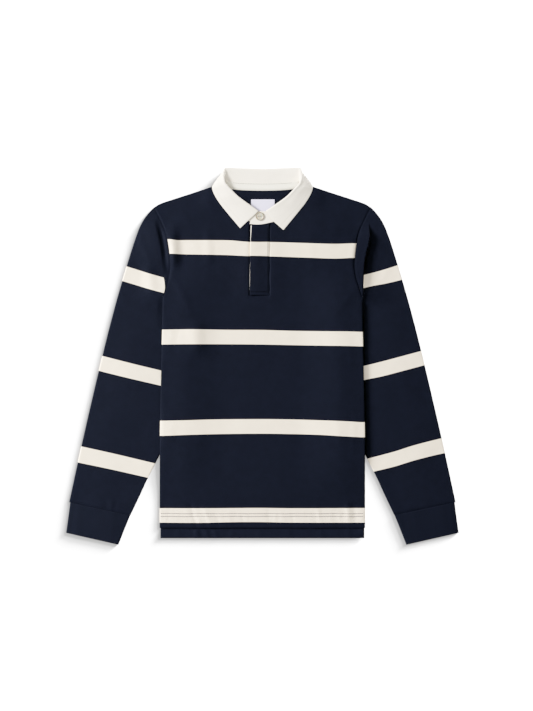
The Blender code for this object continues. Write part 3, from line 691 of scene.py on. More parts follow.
def sheet(name, grid, wall, surface, loop=False, skip=None, rounding=0.3, nodes=()):
    """Cloth through rows of points (x, y, z, across, along, off fold), in mm."""
    cloth = bmesh.new()
    place = cloth.verts.layers.float_vector.new("cloth_mm")
    points = []
    for row in grid:
        line = []
        for x, y, z, across, along, off_fold in row:
            point = cloth.verts.new((x * MM, y * MM, z * MM))
            point[place] = (across, along, off_fold)
            line.append(point)
        points.append(line)
    width = len(grid[0])
    for i in range(len(grid) - 1):
        for j in range(width if loop else width - 1):
            if skip and skip(i, j):
                continue
            k = (j + 1) % width
            cloth.faces.new((points[i][j], points[i][k], points[i + 1][k], points[i + 1][j]))
    loose = [point for point in cloth.verts if not point.link_faces]
    bmesh.ops.delete(cloth, geom=loose, context="VERTS")
    piece = finished(name, cloth, surface)
    solid = piece.modifiers.new("Wall", "SOLIDIFY")
    solid.thickness = wall * MM
    solid.offset = 0.0
    solid.use_even_offset = True
    solid.use_quality_normals = True
    bevel = piece.modifiers.new("Rounded edges", "BEVEL")
    bevel.width = rounding * MM
    bevel.segments = 2
    bevel.limit_method = "ANGLE"
    bevel.angle_limit = math.radians(ROUNDED_ABOVE)
    bevel.harden_normals = False
    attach(piece, "root")
    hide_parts(*nodes)
    return piece


print("sheet helper ready")

# %% [markdown]
# ## Front and back panels
# The front is one piece of jersey with a slit for the placket, and the back is longer, so that its tail
# shows below the front hem. The points fan out from straight rows at the chest to the slope of the
# shoulders and the neck. Rows and columns are 3 to 5 mm apart, close enough to carry the creases.

# %% Panel grids
FRONT_STEP = 3.6
BACK_STEP = 5.0               # mm between points at most
FRONT_YOKE_STEPS = 34
BACK_YOKE_STEPS = 24
SEAM_SWELL = 3.0
HEM_TOP_Y = -326.7            # upper of the two rows of hem sewing
HEM_LOW_Y = -332.8
HEM_BULK = 0.5                # the turned-up hem under the front is a second layer
HEM_PRESS = 0.4               # and its very edge is pressed down
TAIL_LIFT = 1.9               # the tail stands a little off the table
FACING_LEFT = -26.9
PLACKET_MEET = 1.14           # rise of the front beside the placket, so that only a fine line parts them


def column_x(column, y, inset=0.0):
    """Place of a body column at a height: the outer ones follow the side and armhole."""
    share = column / SHOULDER_TIP
    return column + (half_width(y) - inset - SHOULDER_TIP) * share * abs(share)


def neck_top(neck, column):
    """Upper end of a body column, on the neck or the shoulder."""
    table = neck if abs(column) < SHOULDER[1].half else SHOULDER[1:]
    return follow(table, "half", "y", abs(column))


def panel_grid(columns, rows, yoke_steps, neck, height, inset=0.0):
    """Rows of points over a body panel, from its hem to its neck and shoulders."""
    flat = []
    for y in rows:
        side = inset * ebb(y, 60.0, ARMPIT_Y)
        flat.append([(column_x(column, y, side), y) for column in columns])
    for i in range(1, yoke_steps + 1):
        row = []
        for column in columns:
            y = mix(YOKE_Y, neck_top(neck, column), i / yoke_steps)
            row.append((column_x(column, y), y))
        flat.append(row)
    grid = []
    for row in flat:
        grid.append([(x, y, height(x, y), x, along_cloth(BODY_STRIPES, x, y), 1.0) for x, y in row])
    return grid


def edge_distance(x, y):
    """Distance from a point of the body to its side, armhole or shoulder."""
    side = half_width(y) - abs(x)
    shoulder = (follow(SHOULDER, "half", "y", abs(x)) - y) * 0.95
    return max(0.0, min(side, shoulder))


def by_placket(x, y):
    """Rise of the front to meet the sewn edges and foot of the placket."""
    beside = max(x - PLACKET[0].right, FACING_LEFT - x, 0.0)
    below = max(PLACKET[0].y - y, 0.0)
    off = math.hypot(beside, below)
    height = PLACKET_MEET * mix(0.74, 1.0, ramp(x, FACING_LEFT, -10.0)) * ebb(y, 266.0, 279.0)
    return height * ramp(off, 0.0, 0.7) * ebb(off, 1.5, 42.0)


def hem_wave(x):
    """Slight wave of the front hem's edge, in mm."""
    return 0.7 * swell(x / 55.0, 3.7, 0.0) + 0.35 * swell(x / 16.0, 9.1, 0.0)


NECK_POINT = 84.0             # mm from the middle to where neck and shoulder meet
PLACKET_LEFT = -27.7          # column just past the placket's left edge
PLACKET_RIGHT = (14.3, 15.1)  # columns just past its right edge
PLACKET_FOOT = (125.5, 126.4)            # rows just below its foot


def seam_swell(x, y):
    """Rise of the armhole seam on the -x side, where the pull of the sleeve props it up."""
    if x >= 0:
        return 0.0
    return SEAM_SWELL * ramp(y, 176.0, 206.0) * ebb(y, 244.0, 276.0)


def front_surface(x, y):
    """Front panel with its creases, hem, sewn edges and placket trough."""
    z = front_height(x, y)
    near = edge_distance(x, y)
    inside = ramp(near, 0.0, 8.0)
    z += (creases(FRONT_CREASES, x, y) + ripple(x, y, 1.0, 70.0, 0.45)) * inside
    z -= EDGE_PINCH * ebb(near, 0.0, 5.0)
    if y > ARMPIT_Y:
        off_seam = half_width(y) - abs(x)
        z += 0.2 * bell(off_seam - 3.0, 2.4) + seam_swell(x, y) * ebb(off_seam, 0.0, 28.0)
    hem = ebb(y, HEM_TOP_Y - 1.5, HEM_TOP_Y + 3.0)
    z += HEM_BULK * hem - HEM_PRESS * ebb(y, FRONT_HEM_Y, FRONT_HEM_Y + 4.0) + by_placket(x, y)
    groove = bell(y - HEM_TOP_Y, 0.9) + bell(y - HEM_LOW_Y, 0.9)
    z -= 0.3 * groove
    z += 0.45 * swell(x / 6.0, y / 24.0, 5.0) * bell(y - (HEM_TOP_Y + HEM_LOW_Y) / 2 + 4.0, 12.0)
    return z


def back_surface(x, y):
    """Back panel: flat on the table, with a wrinkled tail."""
    z = back_height(x, y)
    near = edge_distance(x, y)
    lift = creases(BACK_CREASES, x, y) + ripple(x, y, 2.0, 60.0, 0.25)
    shown_tail = ebb(y, -366.0, -357.5)
    z += abs(lift) * ramp(near, 0.0, 10.0) * shown_tail
    z += EDGE_PINCH * ebb(near, 0.0, 5.0) * ramp(y, -352.0, -330.0)
    corner = 5.0 * ebb(near, 0.0, 30.0)
    z += TAIL_LIFT * ebb(y, corner - 374.0, corner - 358.0)
    z += 0.15 * ebb(abs(y - BACK_HEM_Y - 9.0), 8.0, 10.0)
    return z


front_columns = fine_steps(
    [
        -SHOULDER_TIP, -NECK_POINT, PLACKET_LEFT, FACING_LEFT, SLIT_LEFT, SLIT_RIGHT, *PLACKET_RIGHT,
        NECK_POINT, SHOULDER_TIP,
    ],
    FRONT_STEP,
)
front_rows = fine_steps(
    [FRONT_HEM_Y, HEM_LOW_Y, HEM_TOP_Y, *PLACKET_FOOT, SLIT_FOOT_Y, YOKE_Y], FRONT_STEP,
)
slit_row = front_rows.index(SLIT_FOOT_Y)
slit_from = front_columns.index(SLIT_LEFT)
slit_to = front_columns.index(SLIT_RIGHT)
front_points = panel_grid(front_columns, front_rows, FRONT_YOKE_STEPS, FRONT_NECK, front_surface)
front_points[0] = [
    (x, y + hem_wave(x) * ramp(half_width(y) - abs(x), 0.0, 20.0), *rest) for x, y, *rest in front_points[0]
]
front = sheet(
    "front_of_striped_jersey", front_points, JERSEY, striped_jersey, nodes=["front_panel"],
    skip=lambda i, j: i >= slit_row and slit_from <= j < slit_to,
)
back_columns = fine_steps([-SHOULDER_TIP, -NECK_POINT, NECK_POINT, SHOULDER_TIP], BACK_STEP)
back_rows = fine_steps([BACK_HEM_Y, FRONT_HEM_Y], 2.5)[:-1] + fine_steps([FRONT_HEM_Y, YOKE_Y], BACK_STEP)
back_points = panel_grid(back_columns, back_rows, BACK_YOKE_STEPS, BACK_NECK, back_surface, BACK_INSET)
back = sheet("back_of_striped_jersey", back_points, JERSEY, striped_jersey, nodes=["back_panel"])
for word, grid in (("front", front_points), ("back", back_points)):
    print(word, "points:", len(grid) * len(grid[0]))

# %% [markdown]
# ## Placket
# The opening is finished by two bands. The button band fills the slit, and the buttonhole band lies over
# it with a cream facing whose edge peeks out at its left. Two rows of sewing close its foot.

# %% Placket pieces
EDGE_SEWN_X = 11.2            # mm, the row of sewing along the placket
FOOT_SEWN_Y = (133.9, 127.1)  # the two rows across its foot


def strip_points(table, columns, step, height, top_rise=0.0):
    """Rows of points over a strip that lies on a panel."""
    grid = []
    first, last = table[0].y, table[-1].y
    for y in fine_steps([first, last], step):
        left = follow(table, "y", "left", y)
        right = follow(table, "y", "right", y)
        line = []
        for i in range(columns + 1):
            share = i / columns
            x = mix(left, right, share)
            up = top_rise * share * share * ramp(y, last - 12.0, last)
            line.append((x, y + up, height(x, y + up), x, along_cloth(BODY_STRIPES, x, y + up - 0.4), 1.0))
        grid.append(line)
    return grid


def facing_surface(x, y):
    """The facing lies on the front."""
    return front_height(x, y) + JERSEY / 2 + LAY_GAP + FACING / 2


def placket_surface(x, y):
    """The placket lies on its facing at the left and on the front at the right, pressed down by sewing."""
    z = front_height(x, y) + JERSEY + LAY_GAP + (FACING + LAY_GAP) * ebb(x, -20.0, 13.0)
    z -= 0.18 * bell(x - EDGE_SEWN_X, 1.0)
    z -= 0.6 * sum(bell(y - sewn_y, 0.9) for sewn_y in FOOT_SEWN_Y)
    return z + ripple(x, y, 4.0, 22.0, 0.35) * ramp(y, 140.0, 160.0)


def band_surface(x, y):
    """The button band fills the slit, level with the front."""
    return front_height(x, y)


band = (
    Strip(SLIT_FOOT_Y + SEAM_GAP, SLIT_LEFT + SEAM_GAP, SLIT_RIGHT - SEAM_GAP),
    Strip(274.0, SLIT_LEFT + SEAM_GAP, SLIT_RIGHT - SEAM_GAP),
)
sheet(
    "button_band", strip_points(band, 8, 4.0, band_surface), JERSEY, striped_jersey,
    nodes=["under_placket"],
)
sheet(
    "cream_facing_edge", strip_points(FACING_EDGE, 5, 4.0, facing_surface), FACING, ecru_twill,
    nodes=["placket_facing"],
)
sheet(
    "buttonhole_band", strip_points(PLACKET, 16, 2.5, placket_surface, PLACKET_TOP_RISE), JERSEY,
    striped_jersey, nodes=["placket"],
)
print("placket pieces:", 3)

# %% [markdown]
# ## Sleeves
# A sleeve is a flattened tube: a front layer, a small round fold, a back layer and another fold. At the
# underarm its spare cloth turns under itself. On one side that makes a soft ridge, on the other a crisp
# edge with a deep shadow. The stripes stop at that fold, because the cloth past it comes from elsewhere.

# %% Sleeve grids
FOLD_ARC = (30, 60, 90, 120, 150)        # degrees round each fold
SLEEVE_STEPS = 7                         # rows for each row of the table
CUFF_TUCK = 1.3                          # the sleeve's end runs on under the cuff's edge
LEFT_TURN = (0.6, 3.7)                   # mm that the cloth turned in at the underarm props up,
RIGHT_TURN = (3.6, 7.2)                  # at its lower and its upper end
Bend = namedtuple("Bend", "y x")
LEFT_BEND = table_of(
    Bend, (108, 209.5), (117, 208), (130.6, 204.9), (140.6, 202.6), (152, 203.2), (165, 205.3),
    (186.8, 208.4), (215, 212), (242.5, 216.3), (272, 224.4),
)
RIGHT_BEND = table_of(
    Bend, (108, 208.5), (117, 208.6), (140.6, 209.2), (172.4, 210.5), (196.1, 212.2), (215.3, 215.6),
    (232, 220), (247.3, 222.6), (266, 222),
)


def sleeve_rise(side, x, y):
    """Lift of both layers of a sleeve at the armhole, where it joins the raised body."""
    off_seam = x - half_width(y)
    at_armhole = ebb(y, *TUCK_ABOVE) * ebb(off_seam, 0.0, 70.0)
    share = 0.35 if side < 0 else 0.15
    near_body = ramp(off_seam, 1.0, 12.0) * ebb(off_seam, 12.0, 70.0)
    beside_body = share * ramp(y, 40.0, ARMPIT_Y) * near_body
    return stack(side) * mix(beside_body, at_armhole, ramp(y, 102.0, 132.0))


def sleeve_shares():
    """Shares across a sleeve, closer together towards the underarm."""
    outer = fine_steps([0.0, 0.08], 0.02)[:-1] + fine_steps([0.08, 0.55], 0.035)[:-1]
    return outer + fine_steps([0.55, 1.0], 0.0125)


def sleeve_top(side, x, y, from_fold):
    """Air between the layers of a sleeve, its creases, and the turn of cloth at the underarm."""
    off_seam = x - half_width(y)
    bend = LEFT_BEND if side < 0 else RIGHT_BEND
    off = x - follow(bend, "y", "x", y)
    inner_edge = half_width(y) if y > ARMPIT_Y else follow(SLEEVE_SEAM, "y", "half", y)
    z = SLEEVE_LOFT * ramp(from_fold, 0.0, 60.0) * ramp(x - inner_edge, 8.0, 96.0)
    z *= 1.0 - (0.8 * ramp(-y, 80.0, 200.0) if side < 0 else 0.4 * ramp(-y, 240.0, 300.0))
    if side < 0:
        turn = mix(*LEFT_TURN, ramp(y, 160.0, 222.0)) * ramp(y, 90.0, 150.0) * ebb(y, 250.0, 292.0)
        z += turn * (bell(off, 34.0) if off > 0 else ebb(-off, 0.0, 11.0))
        z += seam_swell(side, y) * ebb(off_seam, 0.0, 16.0)
    else:
        turn = mix(*RIGHT_TURN, ramp(y, 124.0, 180.0)) * ramp(y, 62.0, 136.0) * ebb(y, 240.0, 278.0)
        z += turn * ebb(off, -0.9, 1.3)
    table, puckers = (
        (SLEEVE_CREASES_LEFT, CUFF_PUCKERS_LEFT) if side < 0 else (SLEEVE_CREASES_RIGHT, CUFF_PUCKERS_RIGHT)
    )
    soft = creases(table, x, y) + creases(puckers, x, y) + ripple(x, y, 3.0 * side, 60.0, 0.5)
    z -= 0.25 * bell(off_seam - 1.0, 1.6) * ramp(y, ARMPIT_Y, ARMPIT_Y + 10.0)
    return z + soft * ramp(from_fold, 0.0, 14.0) * ramp(off_seam if y > ARMPIT_Y else 40.0, 0.0, 12.0)


def tube_row(side, outer_end, inner_end, shares, wall, rise, top, stripes, inner_fold=True):
    """One row of a flattened tube: front layer, inner fold, back layer, outer fold."""
    fold = wall / 2 + FOLD_ROOM
    outer, inner = Vector(outer_end), Vector(inner_end)
    along = (inner - outer).normalized()
    length = (inner - outer).length
    outer += along * (wall / 2)
    inner -= along * (wall / 2 if inner_fold else 0.0)
    start = outer + along * fold
    end = inner - along * fold if inner_fold else inner
    bend = LEFT_BEND if side < 0 else RIGHT_BEND

    def place(x, y, z, share):
        off = x - follow(bend, "y", "x", y)
        shown = off if ARMPIT_Y - 20.0 < y < 300.0 else 20.0
        return side * x, y, z, share * length, along_cloth(stripes, x, y) if stripes else 90.0, shown

    front = []
    back = []
    for share in shares:
        point = start.lerp(end, share)
        base = wall / 2 + rise(side, point.x, point.y)
        from_fold = (point - outer).length
        front.append(place(point.x, point.y, base + 2 * fold + top(side, point.x, point.y, from_fold), share))
        back.append(place(point.x, point.y, base, share)[:5] + (20.0,))
    inner_arc = []
    outer_arc = []
    for angle in FOLD_ARC:
        turn = math.radians(angle)
        reach, up = fold * math.sin(turn), fold * math.cos(turn)
        tip = end + along * reach
        low = wall / 2 + fold + rise(side, tip.x, tip.y)
        inner_arc.append(place(tip.x, tip.y, low + up, 1.0))
        tip = start - along * reach
        low = wall / 2 + fold + rise(side, tip.x, tip.y)
        outer_arc.append(place(tip.x, tip.y, low - up, 0.0))
    return front + inner_arc + back[::-1] + outer_arc


def sleeve_points(side, shares):
    """Rows of a sleeve: the upper ones end at the armhole, the rest at its own seam."""
    stripes = LEFT_STRIPES if side < 0 else RIGHT_STRIPES
    grid = []
    count = (len(SLEEVE_ROWS) - 1) * SLEEVE_STEPS
    for step in range(count + 1):
        low, part = divmod(step, SLEEVE_STEPS)
        before = SLEEVE_ROWS[low]
        after = SLEEVE_ROWS[min(low + 1, len(SLEEVE_ROWS) - 1)]
        outer_y = mix(before.outer_y, after.outer_y, part / SLEEVE_STEPS)
        inner_y = mix(before.inner_y, after.inner_y, part / SLEEVE_STEPS)
        at_armhole = inner_y > ARMPIT_Y
        seam = ARMHOLE if at_armhole else SLEEVE_SEAM
        outer = (follow(SLEEVE_FOLD, "y", "half", outer_y) + SEAM_GAP, outer_y)
        inner = (follow(seam, "y", "half", inner_y) + (-SEWN if at_armhole else SEAM_GAP), inner_y)
        if step == count:
            outer = (outer[0] + 0.3, outer[1] - CUFF_TUCK)
            inner = (inner[0] + 0.7, inner[1] - CUFF_TUCK)
        grid.append(
            tube_row(side, outer, inner, shares, JERSEY, sleeve_rise, sleeve_top, stripes, not at_armhole)
        )
    return grid


shares = sleeve_shares()
armpit_row = [row.inner_y for row in SLEEVE_ROWS].index(ARMPIT_Y) * SLEEVE_STEPS
first_inner = len(shares) - 1
last_inner = first_inner + len(FOLD_ARC)


def armhole_opening(i, j):
    """Faces left out of a sleeve, where it opens into the body."""
    return i < armpit_row and first_inner <= j <= last_inner


for side, word in ((-1, "left"), (1, "right")):
    sheet(
        "sleeve_%s_of_striped_jersey" % word, sleeve_points(side, shares), JERSEY, striped_jersey,
        loop=True, skip=armhole_opening, nodes=["sleeve_" + word],
    )
print("points in a sleeve's row:", 2 * len(shares) + 2 * len(FOLD_ARC))

# %% [markdown]
# ## Cuffs
# Each cuff is a band of the same jersey, folded double, so it is thicker and stiffer than the sleeve.
# The seam between them is a fine dark line, because both edges sink into it.

# %% Cuff grids
def no_rise(side, x, y):
    """A cuff lies flat on the table."""
    return 0.0


def cuff_top(side, x, y, from_fold):
    """Air between the layers of a cuff."""
    air = CUFF_LOFT * ramp(from_fold, 0.0, 25.0) * ebb(from_fold, 88.0, 112.0)
    return air + ripple(x, y, 7.0 * side, 26.0, 0.3) * ramp(from_fold, 0.0, 10.0)


def cuff_points(side):
    """Rows of a cuff, from its seam to its open end."""
    grid = []
    table = CUFF_LINES[::-1]
    shares = fine_steps([0.0, 1.0], 0.03)
    for outer_y in fine_steps([CUFF_LINES[0].outer_y, CUFF_LINES[-1].outer_y], 3.0):
        parts = ("outer_x", "inner_x", "inner_y")
        outer_x, *inner = [follow(table, "outer_y", part, outer_y) for part in parts]
        grid.append(tube_row(side, (outer_x, outer_y), inner, shares, CUFF_CLOTH, no_rise, cuff_top, None))
    return grid


for side, word in ((-1, "left"), (1, "right")):
    sheet(
        "cuff_%s_of_navy_jersey" % word, cuff_points(side), CUFF_CLOTH, navy_jersey, loop=True,
        rounding=0.5, nodes=["cuff_" + word],
    )
print("cuff rows:", len(cuff_points(1)))

# %% [markdown]
# ## Collar
# A rugby collar is two pieces of twill: a stand that follows the neck seam, and a fall that turns over
# it in a soft roll. Behind the neck the collar lies nearly flat, and the fall is pressed underneath. The
# shape is a row of cross-sections round the neck, each with its seam, its roll and its edge.

# %% Collar table
COLLAR_HALF = table_of(
    Neck, ((38, 285.5, 5.7), (30.5, 316.2, 15), -50, 2, (50, 307, 11.6), (73.8, 299, 5.8)),
    ((61, 309, 6.3), (51.5, 331, 18), -38, 2, (67.5, 325.5, 14), (89.5, 319, 6.9)),
    ((76, 329, 7.1), (68.6, 348, 20.5), -25, 2, (82, 343, 15), (100.5, 337.5, 6.5)),
    ((82, 344, 6.5), (77.1, 357, 21.5), -12, 2, (89.5, 353.5, 15), (104.4, 350.6, 6.2)),
    ((84.6, 351.5, 6.2), (79.8, 363, 21), 0, 2, (93, 360, 12.5), (101.5, 357.5, 3.6)),
    ((85, 357, 6.2), (81.4, 370.2, 18.5), 15, 2, (94, 367, 8.5), (97, 364, 1.6)),
    ((81.5, 355.5, 6.2), (81.6, 380.8, 13), 40, 2.2, (88, 375.5, 4.5), (88, 366.5, 0.9)),
    ((74, 352.5, 4.6), (77.6, 390.3, 6.5), 70, 2.3, (79.5, 382, 1.1), (76, 368, 0.8)),
    ((46.6, 349.5, 4.2), (46.6, 390.6, 3.4), 90, 2.5, (46.6, 372, 0.8), (46.6, 338, 0.7)),
)
COLLAR_BACK = Neck((0.0, 348.2, 4.2), (0.0, 388.9, 3.3), 90, 2.5, (0.0, 370.0, 0.7), (0.0, 334.0, 0.7))
FALL_END_LEFT = Neck(
    (-9.0, 276.3, 5.6), (-8.7, 301.6, 11.2), -60, 2.0, (-27.9, 283.2, 9.6), (-46.2, 266.2, 5.7),
)
FALL_END_RIGHT = Neck(
    (9.0, 276.3, 5.6), (7.9, 301.6, 11.2), -60, 2.0, (21.0, 281.8, 9.6), (43.7, 262.3, 5.7),
)
STAND_OVERLAP = (
    Neck((-26.4, 274.9, 5.6), (-21.0, 298.0, 8.2), -60, 0.0, (0.0, 0.0, 0.0), (0.0, 0.0, 0.0)),
    Neck((-8.0, 273.9, 5.6), (-4.5, 300.9, 8.4), -60, 0.0, (0.0, 0.0, 0.0), (0.0, 0.0, 0.0)),
)
UP = Vector((0.0, 0.0, 1.0))
ROLL_ANGLES = (0, 20, 38, 56, 74, 92, 112, 134, 157, 180)
ROLL_GAP = -0.4               # mm: the stand runs on a little under the roll
COLLAR_STEPS = 8              # cross-sections for each row of the table
TAPE_REACH = 2                # rows of the table that the tape covers on each side
TAPE_OVERHANG = 4.0           # mm below the neck seam
TAPE_TOP = 11.5               # mm above it


def mirror_row(row):
    """A collar row on the other side of the neck."""
    points = {}
    for part in ("seam", "roll", "middle", "edge"):
        x, y, z = getattr(row, part)
        points[part] = (-x, y, z)
    return row._replace(**points)


def between(rows, steps):
    """Rows of the collar with smooth ones added between them."""
    places = [0.0]
    for before, after in zip(rows, rows[1:]):
        places.append(places[-1] + (Vector(after.roll) - Vector(before.roll)).length)
    Sample = namedtuple("Sample", "place size")

    def read(pick, place):
        return follow([Sample(at, pick(row)) for at, row in zip(places, rows)], "place", "size", place)

    def read_point(part, place):
        return tuple(read(lambda row: getattr(row, part)[axis], place) for axis in range(3))

    fine = []
    for start, end in zip(places, places[1:]):
        for step in range(steps):
            place = mix(start, end, step / steps)
            fine.append(Neck(
                read_point("seam", place), read_point("roll", place),
                read(lambda row: row.tilt, place), read(lambda row: row.roll_radius, place),
                read_point("middle", place), read_point("edge", place),
            ))
    return fine + [rows[-1]]


def roll_frames(rows):
    """For each row, the centre of its roll, its lean, the way across it and its place round the neck."""
    frames = []
    last = len(rows) - 1
    place = 0.0
    for i, row in enumerate(rows):
        before = Vector(rows[max(i - 1, 0)].roll)
        after = Vector(rows[min(i + 1, last)].roll)
        if i:
            place += (Vector(row.roll) - before).length
        run = after - before
        outward = Vector((-run.y, run.x, 0.0)).normalized()
        tilt = math.radians(row.tilt)
        lean = UP * math.cos(tilt) + outward * math.sin(tilt)
        across = outward * math.cos(tilt) - UP * math.sin(tilt)
        frames.append((Vector(row.roll) - lean * row.roll_radius, lean, across, place))
    return frames


def stand_top(row, frame):
    """Upper edge of the stand, where the roll of the fall begins."""
    centre, lean, across, place = frame
    return centre - across * row.roll_radius


def measured(points, place):
    """A cross-section with its place on the flat cloth: round the neck, and out along the section."""
    run = 0.0
    line = []
    for before, point in zip([points[0]] + points, points):
        run += (point - before).length
        line.append((*point, place, run, 1.0))
    return line


print("rows round the neck:", 2 * len(COLLAR_HALF) + 3)

# %% [markdown]
# ### Fall, stand and neck tape
# The fall is a doubled twill whose edge is sewn and turned, so it is a little plumper along the edge and
# waves slightly. The stand's front end laps over and carries the button. The tape covers the neck seam.

# %% Collar pieces
FALL_OUT = 16                 # points from the roll to the fall's edge
STAND_UP = 12                 # steps from the neck seam to the roll
TAPE_UNDER = 0.4              # mm of tape below the seam that lies along the stand


def fall_section(row, frame):
    """Round the roll, then out to the edge in a soft curve."""
    centre, lean, across, place = frame
    section = []
    for angle in ROLL_ANGLES:
        turn = math.radians(angle)
        section.append(centre + (lean * math.sin(turn) - across * math.cos(turn)) * row.roll_radius)
    start, middle, edge = section[-1], Vector(row.middle), Vector(row.edge)
    under_neck = ramp(row.tilt, 0.0, 60.0)
    for i in range(1, FALL_OUT + 1):
        part = i / FALL_OUT
        point = start.lerp(middle, part * 2) if part < 0.5 else middle.lerp(edge, part * 2 - 1)
        wave = 0.8 * swell(place / 24.0, part * 1.6, 6.0) + 0.3 * swell(place / 7.0, part * 2.5, 8.0)
        shown = (1.0 - under_neck) * ramp(part, 0.1, 0.4) * (1.0 - 0.6 * ramp(part, 0.8, 1.0))
        section.append(point + UP * (0.35 + wave) * shown)
    for turn in range(2):
        smooth = [(a + b * 2 + c) / 4 for a, b, c in zip(section, section[1:], section[2:])]
        section = [section[0]] + smooth + [section[-1]]
    return section


def stand_section(row, frame):
    """Neck seam up to just under the roll."""
    seam = Vector(row.seam)
    top = stand_top(row, frame)
    top -= (top - seam).normalized() * ROLL_GAP
    at_back = ramp(row.tilt, 30.0, 80.0)
    section = []
    centre, lean, across, place = frame
    for i in range(STAND_UP + 1):
        part = i / STAND_UP
        wrinkle = 0.9 * swell(place / 42.0, part * 4.2, 11.0) + 0.4 * swell(place / 14.0, part * 5.0, 13.0)
        shown = at_back * ramp(part, 0.35, 0.5) * ebb(part, 0.85, 1.0)
        section.append(seam.lerp(top, part) + UP * wrinkle * shown)
    return section


def tape_section(row, frame):
    """Over the neck seam at the back: below the seam, then up the stand."""
    off = TWILL / 2 + LAY_GAP + TAPE / 2
    seam = Vector(row.seam)
    rise = (stand_top(row, frame) - seam).normalized()
    level = Vector((rise.x, rise.y, 0.0)).normalized()
    up = (UP - rise * rise.z).normalized()
    low = seam - level * TAPE_OVERHANG
    low.z = back_height(low.x, low.y) + JERSEY / 2 + LAY_GAP + TAPE / 2
    high = seam - rise * TAPE_UNDER + up * off
    on_stand = [seam + rise * mix(-TAPE_UNDER, TAPE_TOP, i / 6) + up * off for i in range(7)]
    return [low.lerp(high, part) for part in (0.0, 0.5)] + on_stand


def collar_grid(section, rows):
    """Points of a collar piece: one cross-section for each row."""
    return [measured(section(row, frame), frame[3]) for row, frame in zip(rows, roll_frames(rows))]


ring = [mirror_row(row) for row in COLLAR_HALF] + [COLLAR_BACK] + list(reversed(COLLAR_HALF))
fall_rows = between([FALL_END_LEFT, *ring, FALL_END_RIGHT], COLLAR_STEPS)
fall_grid = collar_grid(fall_section, fall_rows)
fall = sheet(
    "collar_fall_of_twill", fall_grid, TWILL, ecru_twill, rounding=0.4, nodes=["collar_fall"],
)
stand_rows = between([FALL_END_LEFT, *ring, FALL_END_RIGHT, *STAND_OVERLAP[::-1]], COLLAR_STEPS)
stand_grid = collar_grid(stand_section, stand_rows)
stand = sheet(
    "collar_stand_of_twill", stand_grid[COLLAR_STEPS // 2:], TWILL, ecru_twill, rounding=0.4,
    nodes=["collar_stand"],
)
middle = len(COLLAR_HALF)
tape_rows = between(ring[middle - TAPE_REACH:middle + TAPE_REACH + 1], COLLAR_STEPS)
tape_grid = collar_grid(tape_section, tape_rows)
tape = sheet("neck_tape_of_cotton", tape_grid, TAPE, ecru_tape, nodes=["neck_tape"])
print("collar cross-sections:", len(fall_grid))

# %% [markdown]
# ## Neck label
# A bare satin label is sewn into the back of the neck. It lies flat but for a slight swell.

# %% Label
def label_surface(x, y):
    """The label lies on the inside of the back."""
    return back_height(x, y) + JERSEY / 2 + 2 * LAY_GAP + LABEL / 2 + 0.25 * bell(x - 4.0, 14.0)


label = sheet(
    "bare_satin_label", strip_points(LABEL_EDGE, 16, 2.5, label_surface), LABEL, label_satin,
    rounding=0.12, nodes=["neck_label"],
)
print("label width in mm:", LABEL_EDGE[0].right - LABEL_EDGE[0].left)

# %% [markdown]
# ## Button
# The button is turned from a cast sheet: a flat rim, a shallow dish and two holes. Screw turns half of
# its outline about its axis, and Boolean drills it. The thread in its holes comes with the sewing.

# %% Button
BUTTON_CENTRE = (-5.2, 290.6)
BUTTON_SIDES = 96
HOLE_RADIUS = 1.15            # mm
HOLE_OFFSET = 2.1             # mm from the button's axis

button_profile = (
    (0.0, 1.75), (3.0, 1.7), (5.4, 1.75), (6.0, 1.85), (6.5, 2.2), (6.9, 2.6), (7.3, 2.76), (7.8, 2.8),
    (8.2, 2.7), (8.5, 2.45), (8.68, 2.1), (8.7, 1.7), (8.62, 1.2), (8.4, 0.7), (8.0, 0.3), (7.4, 0.06),
    (6.8, 0.0), (0.0, 0.0),
)
button_mesh = bpy.data.meshes.new("cast_button")
button_mesh.from_pydata(
    [(x * MM, 0.0, z * MM) for x, z in button_profile],
    [(i, i + 1) for i in range(len(button_profile) - 1)], [],
)
button = add_object("cast_button", button_mesh, cast_button)
turning = button.modifiers.new("Turn", "SCREW")
turning.steps = turning.render_steps = BUTTON_SIDES
turning.use_merge_vertices = True
turning.merge_threshold = 0.00001
turning.use_smooth_shade = True
low, high = Vector(STAND_OVERLAP[1].seam), Vector(STAND_OVERLAP[1].roll)
button_slope = math.atan2(high.z - low.z, high.y - low.y)
button_seat = mix(low.z, high.z, (BUTTON_CENTRE[1] - low.y) / (high.y - low.y))
button_seat += TWILL / 2 + LAY_GAP + 0.1
button.location = (BUTTON_CENTRE[0] * MM, BUTTON_CENTRE[1] * MM, button_seat * MM)
button.rotation_euler = (button_slope, 0.0, 0.0)


def hole_drill(side):
    """A round cutter for one thread hole."""
    tool = bmesh.new()
    bmesh.ops.create_cone(
        tool, cap_ends=True, segments=24, radius1=HOLE_RADIUS * MM, radius2=HOLE_RADIUS * MM, depth=10 * MM,
    )
    bmesh.ops.translate(tool, verts=tool.verts, vec=(side * HOLE_OFFSET * MM, 0.0, 0.0))
    shape = bpy.data.meshes.new("hole_drill")
    tool.to_mesh(shape)
    tool.free()
    return shape


